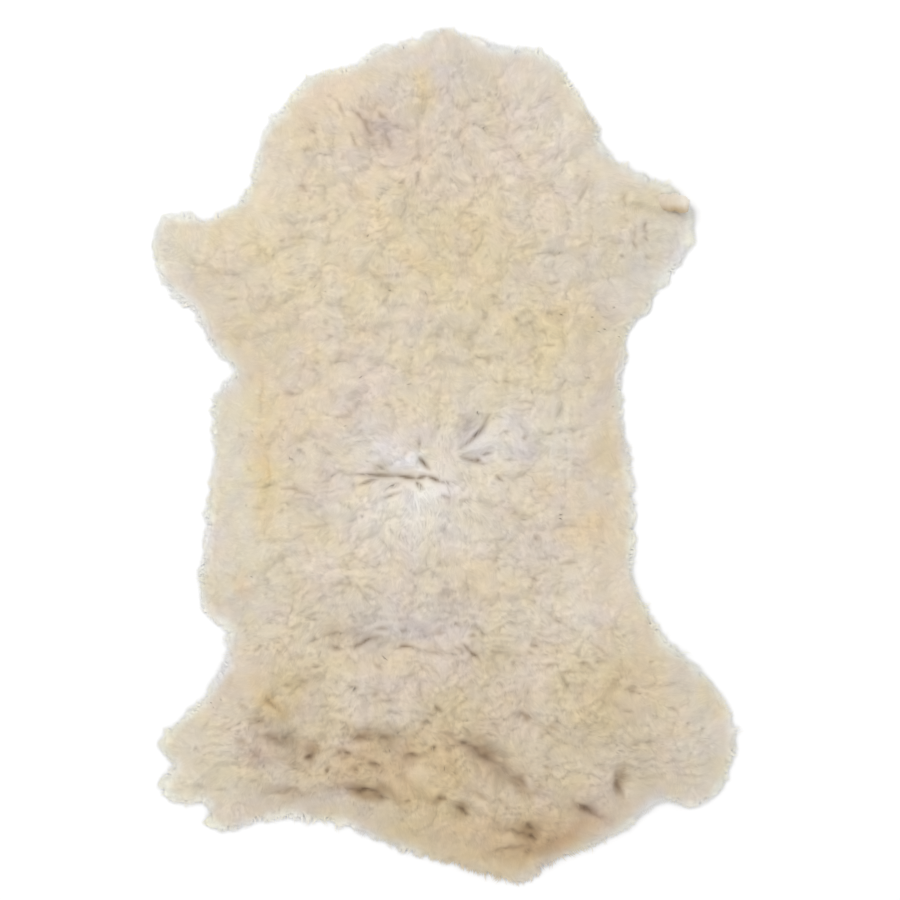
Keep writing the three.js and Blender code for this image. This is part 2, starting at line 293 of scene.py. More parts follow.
def node_material(name):
    """A new material with a Principled shader, as (material, its nodes, its links, the shader)."""
    material = bpy.data.materials.new(name)
    material.use_nodes = True
    nodes, links = material.node_tree.nodes, material.node_tree.links
    return material, nodes, links, nodes["Principled BSDF"]


def napped(nodes, links, shader, scale, detail, strength, depth):
    """Raises a fine nap on the shader, by the strength and depth, and gives back the output of a
    soft mottle of that scale and detail for its colour."""
    where = nodes.new("ShaderNodeTexCoord")
    mottle, nap = nodes.new("ShaderNodeTexNoise"), nodes.new("ShaderNodeTexNoise")
    for texture, size, fineness in ((mottle, scale, detail), (nap, 900, 3)):
        texture.inputs["Scale"].default_value = size
        texture.inputs["Detail"].default_value = fineness
        links.new(where.outputs["Object"], texture.inputs["Vector"])
    raised = nodes.new("ShaderNodeBump")
    raised.inputs["Strength"].default_value = strength
    raised.inputs["Distance"].default_value = depth
    links.new(nap.outputs["Fac"], raised.inputs["Height"])
    links.new(raised.outputs["Normal"], shader.inputs["Normal"])
    return mottle.outputs["Fac"]


def suede_material():
    """Tanned flesh side: pinkish cream leather, cloudy, with a fine nap."""
    material, nodes, links, shader = node_material("suede")
    mottle = napped(nodes, links, shader, 9, 6, 0.5, 0.0004)
    tint = nodes.new("ShaderNodeValToRGB")
    dark, pale = tint.color_ramp.elements
    dark.position, dark.color = 0.35, (0.56, 0.43, 0.31, 1)
    pale.position, pale.color = 0.7, (0.74, 0.63, 0.49, 1)
    links.new(mottle, tint.inputs["Fac"])
    links.new(tint.outputs["Color"], shader.inputs["Base Color"])
    shader.inputs["Roughness"].default_value = 0.92
    shader.inputs["Sheen Weight"].default_value = 0.25
    return material


pelt_xy, pelt_faces, pelt_loop = lattice(PELT_CELL, TIP_REACH, 0)
pelt_count = len(pelt_xy)
pelt_points = np.vstack([
    np.column_stack([pelt_xy, np.full(pelt_count, PELT_THICKNESS)]),
    np.column_stack([pelt_xy, np.zeros(pelt_count)]),
])
pelt_next = np.roll(pelt_loop, -1)
pelt_edge = np.concatenate([
    np.stack([pelt_loop, pelt_loop + pelt_count, pelt_next], 1),
    np.stack([pelt_next, pelt_loop + pelt_count, pelt_next + pelt_count], 1),
])
pelt_triangles = np.concatenate([pelt_faces, pelt_faces[:, ::-1] + pelt_count, pelt_edge])

# The two faces lie side by side on the map, and the edge is a thin band round each point of the loop
MAP_WIDTH, MAP_CORNER = 1450, [360, 520]
pelt_uv = (pelt_points[:, :2] + MAP_CORNER) / MAP_WIDTH
pelt_uv[pelt_count:, 0] += 0.5
pelt_corner_uv = pelt_uv[pelt_triangles]
edge_from = len(pelt_triangles) - len(pelt_edge)
low_corner = pelt_triangles[edge_from:] >= pelt_count
band_x, band_y = outward(*pelt_xy[pelt_triangles[edge_from:] % pelt_count].reshape(-1, 2).T)
band = np.stack([band_x, band_y], -1).reshape(-1, 3, 2) * 2 / MAP_WIDTH
top_corner_uv = (pelt_xy[pelt_triangles[edge_from:] % pelt_count] + MAP_CORNER) / MAP_WIDTH
pelt_corner_uv[edge_from:] = top_corner_uv + np.where(low_corner[..., None], band, 0)

pelt = mesh_piece("pelt", pelt_points, pelt_triangles, pelt_corner_uv, suede_material())
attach(pelt, "root")

# The underwool is the dense wool that stands on the pelt, felted by its own crimp.
# It is a deep soft mat with lumps and partings, lower on the legs and the left flank.
# Nothing fixes it: it grows out of the pelt, so it sits on it all over.

BACK_WOOL = 40
RIM_WOOL = 2.5
RIM_ROLL = 58
ROLL_START, ROLL_POWER = 1.12, 1.75
LEG_REACH = 120
LUMP_PITCH, LUMP_SCATTER, LUMP_SPREAD, LUMP_RELIEF = 34, 0.7, 0.72, 16
TUFT_PITCH, TUFT_RELIEF = 13, 1.7
FINE_STEP = 1.25  # step of the fields that carry the wool's relief
MAT_CELL = 2.4
MAT_DEPTH = 0.35  # how far the mat's surface lies below the tips of the wool
MAT_REACH = 9  # how far the mat reaches past the edge of the pelt
RIM_LOBE = 11  # how much the lobes of the mat's edge vary that
MAT_PAINTED_LIGHT, MAT_DARK = 1.04, 0.9  # how much lighter it is painted than the fleece, against the shade that the strands cast on it, and how much of the painted shade it takes

# Where the wool sinks in a wide soft trough: each runs length along turn degrees from +X
TROUGH_WIDTH, TROUGH_FADE = 15, 0.6
TROUGHS = np.array([row[1:] for row in [
    # place, x, y, length, turn, depth
    ("left whorl, slit", -56, -27, 96, -4, 12),
    ("left whorl, arm", -27, -12, 34, 115, 8),
    ("right whorl, long arm", 30, 23, 70, 46, 10),
    ("right whorl, short arm", 34, -9, 52, -8, 8),
    ("neck, left", -78, 368, 78, -52, 10),
    ("right shoulder", 163, 306, 62, 64, 10),
    ("right foreleg", 236, 254, 42, -75, 9),
    ("left side", -157, -72, 76, -12, 8),
    ("loin", -82, -224, 140, -3, 14),
    ("loin, right", 66, -243, 90, -18, 10),
    ("left rump", -184, -332, 92, -35, 15),
    ("middle rump", -64, -334, 112, -10, 14),
    ("left of the tail", -94, -395, 74, -10, 14),
    ("right rump", 62, -367, 92, -48, 16),
    ("over the tail", 17, -416, 44, -45, 12),
    ("tail, right", 97, -441, 44, -60, 12),
    ("thigh, low", 163, -412, 54, -25, 12),
    ("thigh, high", 204, -387, 50, 80, 12),
]], float)


def from_photo(rows):
    """Rows of partings whose places and lengths were read off the photograph, in its pixels
    from the upper left corner, in whole millimetres."""
    return [
        (round((x - MIDDLE_PIXEL[0]) * PIXEL), round((MIDDLE_PIXEL[1] - y) * PIXEL),
         round(length * PIXEL), turn, round(bend * PIXEL), dark)
        for x, y, length, turn, bend, dark in rows
    ]


# The small partings that show as thin dark lines, painted with shade. A kind gives their width, their depth,
# the width and depth of the soft sides, and how ragged they are. Each row is x, y, length, turn, bend, dark:
# the strength of its depth and of its painted shade.
PARTING, CREVICE, CREASE = (1.7, 5, 5, 4, 1), (2.7, 4, 8, 3.5, 7), (2.1, 2.8, 6, 2, 4)
PARTING_KINDS = {"left whorl": PARTING, "right whorl": PARTING, "rump": CREVICE}
PARTINGS = {
    "left whorl": [
        (-73, -27, 78, -2, 1, 0.8), (-45, -28, 40, -8, 0, 1), (-27, -28, 20, 16, 0, 1),
        (-13, -30, 27, -23, 0, 1), (2, -34, 26, -10, 0, 0.4), (-30, -37, 17, -60, 0, 0.9),
        (-24, -11, 26, -48, -1, 0.95), (-72, -19, 30, -28, 1, 0.35), (-58, -38, 28, 22, 1, 0.35),
    ] + from_photo([
        (419, 445, 17, 88, 0, 0.3), (370, 482, 32, 20, 1, 0.5), (395, 495, 26, 24, 1, 0.35),
    ]),
    "right whorl": from_photo([
        (473, 431, 57, 48, -5, 0.75), (473, 460, 37, -16, -1, 0.7), (478, 460, 9, -10, 0, 1),
        (487, 455, 19, 20, 1, 0.5), (511, 460, 16, 0, 0, 0.3), (499, 479, 12, -40, 0, 0.45),
        (446, 497, 14, -20, 0, 0.35),
    ]),
    "right of the whorls": from_photo([
        (505, 432, 15, 15, 0, 0.35), (525, 438, 8, 8, 0, 0.45), (549, 435, 10, 6, 0, 0.3),
        (572, 431, 12, -18, 0, 0.3), (525, 402, 19, 0, 0, 0.25), (579, 396, 11, -18, 0, 0.35),
        (548, 345, 11, -3, 0, 0.45), (488, 362, 8, -30, 0, 0.35), (557, 368, 5, 0, 0, 0.35),
        (607, 493, 10, 4, 0, 0.3), (514, 512, 5, 30, 0, 0.4), (532, 492, 5, 0, 0, 0.35),
        (544, 559, 17, -9, 0, 0.4), (535, 538, 10, -40, 0, 0.35), (567, 563, 29, 6, -1, 0.5),
        (535, 579, 10, 0, 0, 0.45), (499, 567, 8, -70, 0, 0.35), (551, 617, 19, -29, 0, 0.4),
    ]),
    "shoulders": from_photo([
        (553, 285, 13, 2, 0, 0.45), (530, 323, 9, -10, 0, 0.45), (541, 333, 18, -14, 0, 0.45),
        (524, 338, 12, -25, 0, 0.4), (549, 346, 18, -6, 0, 0.5), (516, 320, 6, 0, 0, 0.3),
        (488, 361, 9, -35, 0, 0.4), (497, 335, 8, 5, 0, 0.35), (484, 318, 10, -6, 0, 0.3),
        (531, 358, 6, 0, 0, 0.35), (399, 277, 7, 0, 0, 0.35), (438, 337, 8, -75, 0, 0.35),
        (398, 360, 11, 25, 0, 0.3), (461, 257, 9, 0, 0, 0.25), (494, 298, 9, 20, 0, 0.25),
        (486, 246, 9, -12, 0, 0.25), (328, 338, 14, 28, 0, 0.5), (326, 324, 8, 40, 0, 0.25),
        (320, 364, 8, 30, 0, 0.4), (225, 274, 30, 1, 0, 0.35), (196, 265, 6, 0, 0, 0.3),
        (233, 301, 18, 22, 1, 0.35), (264, 288, 11, -48, 0, 0.35), (284, 243, 8, -12, 0, 0.35),
        (251, 225, 5, 0, 0, 0.25), (286, 205, 7, -20, 0, 0.25), (310, 200, 9, -45, 0, 0.35),
        (260, 336, 35, 10, 1, 0.2), (303, 293, 8, -6, 0, 0.2),
    ]),
    "right foreleg": from_photo([
        (625, 200, 20, 72, 1, 0.45), (633, 236, 28, 88, -1, 0.45), (646, 227, 14, 84, 0, 0.6),
        (646, 238, 9, -50, 0, 0.4), (635, 246, 16, -66, 0, 0.6), (623, 258, 13, -20, 0, 0.4),
        (581, 196, 34, 58, 0, 0.35), (569, 214, 7, 0, 0, 0.5), (649, 258, 14, -15, 0, 0.3),
        (658, 197, 20, -20, 0, 0.25),
    ]),
    "neck": from_photo([
        (360, 120, 28, -52, 1, 0.75), (368, 128, 26, -58, 0, 0.5), (383, 118, 18, -55, 0, 0.6),
        (388, 144, 22, -62, 0, 0.45), (340, 110, 30, -60, 1, 0.55), (356, 145, 26, -66, 0, 0.5),
        (376, 152, 22, -66, 0, 0.35), (312, 132, 12, -38, 0, 0.5), (309, 152, 11, -35, 0, 0.45),
        (306, 190, 13, -50, 0, 0.5), (330, 97, 8, -45, 0, 0.3), (392, 92, 8, -60, 0, 0.3),
        (423, 82, 14, -80, 0, 0.3), (455, 78, 10, -80, 0, 0.35), (404, 92, 9, -40, 0, 0.3),
        (440, 100, 16, -75, 0, 0.2), (475, 104, 10, 0, 0, 0.35), (489, 97, 8, 70, 0, 0.35),
        (493, 108, 12, 15, 0, 0.3), (506, 163, 8, 20, 0, 0.5), (476, 178, 8, -10, 0, 0.45),
        (505, 191, 18, -12, 0, 0.3), (475, 201, 10, 4, 0, 0.4), (419, 180, 14, 82, 0, 0.35),
        (438, 180, 14, 84, 0, 0.35), (404, 186, 14, -82, 0, 0.3), (420, 160, 12, 85, 0, 0.25),
        (464, 145, 14, 85, 0, 0.2), (545, 165, 16, 30, 0, 0.25), (559, 155, 22, 48, 0, 0.3),
        (547, 100, 40, 20, 2, 0.2), (345, 160, 10, -60, 0, 0.3), (290, 170, 14, -50, 0, 0.25),
    ]),
    "left flank": [
        (-176, -44, 60, -14, 1, 0.5), (-217, -64, 18, 0, 0, 0.35), (-174, 69, 34, 8, 0, 0.4),
        (-238, 20, 16, -15, 0, 0.2), (-228, -21, 7, 0, 0, 0.45), (-167, 1, 18, -45, 0, 0.35),
        (-213, 66, 70, 88, 2, 0.2), (-213, 19, 12, -60, 0, 0.3),
    ],
    "belly": from_photo([
        (315, 523, 42, 0, -3, 0.4), (274, 541, 10, 24, 0, 0.3), (292, 572, 6, 20, 0, 0.4),
        (342, 585, 28, 0, 2, 0.4), (362, 590, 18, -50, 0, 0.4), (314, 619, 16, -8, 0, 0.4),
        (336, 633, 22, 4, 0, 0.5), (360, 632, 14, 20, 0, 0.45), (382, 627, 19, 10, 0, 0.55),
        (404, 630, 15, -12, 0, 0.75), (337, 645, 20, -20, -2, 0.65), (367, 641, 35, 22, 1, 0.9),
        (348, 657, 20, 58, 0, 0.35), (407, 648, 30, -2, 3, 0.95), (434, 650, 24, -12, 0, 0.5),
        (313, 640, 14, 25, 0, 0.45), (301, 656, 14, 10, 0, 0.5), (257, 649, 20, 25, 0, 0.4),
        (317, 666, 16, 15, 0, 0.5), (379, 666, 18, -50, 1, 0.5), (355, 686, 14, -4, 0, 0.4),
        (376, 693, 13, 24, 0, 0.5), (287, 684, 20, -18, 0, 0.4), (342, 676, 5, 0, 0, 0.3),
        (422, 665, 14, -26, 0, 0.4), (385, 699, 30, 2, 0, 0.35), (449, 609, 28, -2, -2, 0.4),
        (458, 623, 12, -17, 0, 0.5), (440, 633, 17, 0, 0, 0.4), (471, 650, 32, -44, 0, 0.95),
        (460, 649, 15, -15, 0, 0.6), (473, 636, 10, -8, 0, 0.7), (505, 636, 39, -8, 3, 0.4),
        (497, 651, 15, -5, 0, 0.5), (513, 663, 7, -20, 0, 0.6), (529, 651, 10, -45, 0, 0.5),
        (550, 664, 20, 22, 0, 0.5), (568, 672, 22, 5, 0, 0.6), (583, 663, 26, -23, 0, 0.55),
        (597, 649, 32, -40, 2, 0.45), (460, 688, 10, -40, 0, 0.4), (501, 683, 8, -25, 0, 0.4),
        (508, 531, 4, 0, 0, 0.35), (397, 712, 16, -8, 0, 0.35),
    ]),
    "rump": from_photo([
        (259, 720, 23, 16, -1, 0.6), (272, 738, 34, -24, -1, 0.55), (311, 754, 17, 8, -2, 1),
        (347, 752, 15, -38, 0, 0.85), (364, 737, 28, -22, 0, 0.65), (410, 754, 40, 3, 0, 0.65),
        (433, 747, 9, -60, 0, 0.75), (326, 770, 6, -40, 0, 0.9), (366, 791, 50, -6, 2, 1),
        (383, 795.5, 24, -10, 0, 0.9), (374, 763, 20, -25, 0, 0.75), (356, 770, 11, -40, 0, 0.4),
        (287, 792, 54, 6, 2, 0.4), (477, 750, 70, -32, 2, 0.7), (488, 754, 16, -30, 0, 0.8),
        (521, 782, 24, -32, 0, 0.6), (441, 797, 18, -20, 0, 0.7), (462, 811, 16, -50, 0, 0.9),
        (515, 831, 45, -14, -2, 0.7), (530, 837, 9, -80, 0, 1), (531, 825, 10, -35, 0, 0.7),
        (512, 851, 55, 8, 3, 0.55), (528, 852, 20, 5, -1, 0.5), (587, 810, 38, -32, 1, 0.8),
        (620, 784, 34, -74, -2, 0.6), (525, 714, 15, 0, 0, 0.55), (455, 759, 6, 0, 0, 0.45),
        (552, 838, 12, 30, 0, 0.45), (273, 705, 20, -40, 0, 0.45), (243, 706, 13, -22, 0, 0.4),
        (244, 740, 12, 25, 0, 0.45), (255, 752, 14, -40, 0, 0.3), (408, 799, 6, 0, 0, 0.45),
        (345, 728, 12, -10, 0, 0.3), (425, 722, 14, -15, 0, 0.4), (436, 710, 12, -20, 0, 0.55),
        (385, 735, 14, -20, 0, 0.5), (470, 732, 20, -40, 1, 0.35), (497, 725, 14, -60, 0, 0.25),
        (548, 765, 10, -40, 0, 0.4), (555, 725, 16, -50, 0, 0.35), (400, 775, 18, -10, 0, 0.25),
        (480, 795, 24, -42, 1, 0.35), (505, 805, 20, -55, 0, 0.3),
    ]),
    "thigh and hind legs": from_photo([
        (652, 661, 9, 0, 0, 0.6), (654, 676, 5, 30, 0, 0.6), (613, 683, 6, -10, 0, 0.4),
        (633, 691, 26, -8, 1, 0.6), (647, 693, 6, 60, 0, 0.65), (673, 709, 17, -28, 0, 0.5),
        (688, 723, 7, -30, 0, 0.5), (701, 730, 5, -20, 0, 0.35), (585, 746, 6, -10, 0, 0.4),
        (604, 768, 20, -18, 0, 0.4), (625, 690, 5, 0, 0, 0.5), (600, 705, 28, 32, 0, 0.25),
        (627, 708, 14, 0, -2, 0.35), (648, 740, 20, -80, 0, 0.2), (672, 760, 20, 20, 0, 0.2),
        (205, 725, 26, 58, 0, 0.35), (200, 788, 14, -10, 0, 0.3), (222, 790, 16, -8, 0, 0.3),
        (198, 748, 8, 10, 0, 0.3), (258, 778, 20, 30, 0, 0.3), (216, 812, 14, 50, 0, 0.2),
    ]),
}
SMALL_PARTINGS = 90  # more of them, too small to place one by one


def crowns(x, y, pitch, wander, kind):
    """The nearest of a scattered grid of crowns, as (distance, crown x, crown y, column, row)."""
    column, row = np.floor(x / pitch), np.floor(y / pitch)
    best = [np.full(np.shape(x), np.inf)] + [np.zeros(np.shape(x)) for _ in range(4)]
    for di in (-1, 0, 1):
        for dj in (-1, 0, 1):
            i, j = column + di, row + dj
            crown_x = (i + 0.5 + wander * (scatter(i, j, kind) - 0.5)) * pitch
            crown_y = (j + 0.5 + wander * (scatter(i, j, kind + 1) - 0.5)) * pitch
            away = np.hypot(x - crown_x, y - crown_y)
            near = away < best[0]
            best = [np.where(near, new, old) for new, old in zip((away, crown_x, crown_y, i, j), best)]
    return best


def line_profile(x, y, row, fade):
    """How far (x, y) is across a parting, and how much of it is left there, fading towards its two
    ends. Its line is a parabola through the two ends, and bend is its height in the middle."""
    mid_x, mid_y, length, turn, bend = row
    cosine, sine = math.cos(math.radians(turn)), math.sin(math.radians(turn))
    dx, dy = x - mid_x, y - mid_y
    along = dx * cosine + dy * sine
    across = dy * cosine - dx * sine - bend * (1 - (2 * along / length) ** 2)
    return across, 1 - smooth(np.abs(along) / (fade * length))


def small_partings():
    """Rows like those of PARTINGS at random places: across the wool's fall on the body, along it on
    the neck, and none near the rim."""
    rng = np.random.default_rng(21)
    x, y = rng.uniform(-330, 330, 4000), rng.uniform(-480, 480, 4000)
    kept = np.flatnonzero(inside_tips(x, y) > 34)[:SMALL_PARTINGS]
    x, y = x[kept], y[kept]
    turn = np.where(y > 290, 80 * np.sign(x + 30), 0) + rng.normal(0, 24, len(x))
    length = rng.uniform(7, 20, len(x))
    bend = rng.uniform(-2, 2, len(x))
    return np.stack([x, y, length, turn, bend, rng.uniform(0.12, 0.38, len(x))], axis=1)


fine_x, fine_y = field_grid(FINE_STEP)
sway_x = clouds(fine_x, fine_y, 11, 41) + 0.5 * clouds(fine_x, fine_y, 5, 43) - 0.75
sway_y = clouds(fine_x, fine_y, 11, 42) + 0.5 * clouds(fine_x, fine_y, 5, 44) - 0.75
trough_field, gap_field, painted_shade_field, way_x_field, way_y_field = np.zeros((5, *fine_x.shape))


def window(mid_x, mid_y, reach):
    """The part of the fine grid within the reach of a point, as a pair of slices."""
    low = np.floor((np.array([mid_x, mid_y]) - reach - FIELD_FROM) / FINE_STEP).astype(int)
    high = low + int(2 * reach / FINE_STEP) + 2
    return tuple(slice(max(a, 0), b) for a, b in zip(low, high))


for row in TROUGHS:
    part = window(row[0], row[1], 0.6 * row[2] + 40)
    across, left = line_profile(fine_x[part], fine_y[part], (*row[:4], 0), TROUGH_FADE)
    depth = row[4] * left * np.exp(-((across / TROUGH_WIDTH) ** 2))
    trough_field[part] = np.maximum(trough_field[part], depth)

parting_rows = [(PARTING_KINDS.get(place, CREASE), row) for place in PARTINGS for row in PARTINGS[place]]
parting_rows += [(CREASE, row) for row in small_partings()]
for (width, depth, side_width, side_depth, ragged), row in parting_rows:
    part = window(row[0], row[1], 0.6 * row[2] + 3 * side_width)
    across, left = line_profile(
        fine_x[part] + ragged * sway_x[part], fine_y[part] + ragged * sway_y[part], row[:5], 0.62
    )
    if ragged > 1:
        left = left * np.minimum(1, 0.6 + 0.8 * clouds(fine_x[part], fine_y[part], 6, 45))
    line = left * np.exp(-((across / width) ** 2))
    sides = left * np.exp(-((across / side_width) ** 2))
    strength = (0.35 + 0.65 * row[5]) * min(1, (row[2] + 4) / 16)
    gap_field[part] = np.maximum(gap_field[part], strength * (depth * line + side_depth * sides))
    # the parting's line, and more faintly its soft sides, are painted with shade, as strong as dark says
    painted_shade_field[part] = np.maximum(painted_shade_field[part], row[5] * np.maximum(line, 0.24 * sides + 0.5 * line))
    push = np.sign(across) * left * np.exp(-((across / (1.6 * side_width)) ** 2)) * row[5]
    way_x_field[part] -= push * math.sin(math.radians(row[3]))
    way_y_field[part] += push * math.cos(math.radians(row[3]))


# The tufts lie over each other like shingles: a saw's teeth along the fall of the wool, bent by clouds
SHINGLE_PITCH, SHINGLE_RELIEF, SHINGLE_DARK = 15, 2.8, 0.18
teeth = -fine_y / SHINGLE_PITCH + 0.12 * fine_x / SHINGLE_PITCH
teeth += 2.0 * clouds(fine_x, fine_y, 29, 65) + 0.9 * clouds(fine_x, fine_y, 12, 66)
teeth += 0.35 * clouds(fine_x, fine_y, 5, 67)
steep = np.hypot(*np.gradient(teeth, FINE_STEP))
tooth = teeth - np.floor(teeth)
tooth_end = (tooth - np.round(tooth)) / np.maximum(steep, 0.04)
shingled = 0.5 + 0.5 * smooth((-110 - fine_y) / 110) - 0.25 * smooth((fine_y - 270) / 60)
shingled = shingled * smooth((inside_tips(fine_x, fine_y) - 12) / 26)
shingled = shingled * (1 - 0.85 * np.exp(-((fine_x + 15) ** 2 + (fine_y + 15) ** 2) / 62**2))
shingled = shingled * np.clip(2.2 * clouds(fine_x, fine_y, 34, 68) - 0.35, 0.1, 1)
shingle_field = SHINGLE_RELIEF * shingled * (tooth - smooth((tooth - 0.7) / 0.3))
# A thin band at each tooth's end, under the tip of the tuft above, is painted with shade, broken up by
# clouds
shingle_edge_shade = SHINGLE_DARK * shingled * np.exp(-((tooth_end / 1.8) ** 2))
shingle_edge_shade = shingle_edge_shade * np.clip(2.4 * clouds(fine_x, fine_y, 9, 69) - 0.5, 0, 1)
painted_shade_field = np.maximum(painted_shade_field, shingle_edge_shade)


# The wool banks up against the curled edge, and over its left end
curl_along = (fine_x - 239) / 43
curl_across = fine_y - (297 - 8.5 * curl_along)
curl_bank = 12 * smooth(2 + 2.5 * curl_along) * smooth(2.6 - 2.2 * curl_along)
curl_bank = curl_bank * np.exp(-((np.maximum(np.abs(curl_across + 1) - 5, 0) / 6) ** 2))
curl_bank = curl_bank * (1 - 0.55 * smooth(2.2 * curl_along - 0.3))


def relief():
    """The height of the wool's tips on the fine grid: it rolls up from the rim to the height of the
    part and on to that of the back, with lumps, smaller tufts, soft troughs and narrow gaps."""
    inside = inside_tips(fine_x, fine_y)
    near = look_up(wool_field, fine_x, fine_y)
    wool = near + (BACK_WOOL - near) * smooth((inside - TIP_REACH) / LEG_REACH)
    rise = 1 - (1 - np.clip(inside / RIM_ROLL, 0, 1) ** ROLL_START) ** ROLL_POWER
    swept_x = fine_x + 26 * (clouds(fine_x, fine_y, 31, 62) - 0.5) + 5 * sway_x
    swept_y = fine_y + 26 * (clouds(fine_x, fine_y, 31, 63) - 0.5) + 5 * sway_y
    lump_away = crowns(swept_x, swept_y, LUMP_PITCH, LUMP_SCATTER, 1)[0] / (LUMP_SPREAD * LUMP_PITCH)
    tuft_away = crowns(swept_x, swept_y, TUFT_PITCH, 0.8, 11)[0] / (0.8 * TUFT_PITCH)
    lump, tuft = (1 - np.minimum(1, away**2) for away in (lump_away, tuft_away))
    calm = 1 - 0.55 * np.exp(-((fine_x + 15) ** 2 + (fine_y + 30) ** 2) / 70**2)
    lumps = LUMP_RELIEF * calm * (0.5 * lump + 0.5 * clouds(fine_x, fine_y, 27, 64) - 0.55)
    lumps = lumps + TUFT_RELIEF * (tuft - 0.6) + 1.2 * (clouds(fine_x, fine_y, 7, 61) - 0.5) + shingle_field
    full = PELT_THICKNESS + wool + lumps * wool / BACK_WOOL - trough_field - gap_field + curl_bank
    return RIM_WOOL + (full - RIM_WOOL) * rise


top_field = relief()


def wool_top(x, y):
    return look_up(top_field, x, y)


def linear(tone):
    """An sRGB colour from 0 to 255 as linear light."""
    share = np.asarray(tone, float) / 255
    return np.where(share > 0.04045, ((share + 0.055) / 1.055) ** 2.4, share / 12.92)


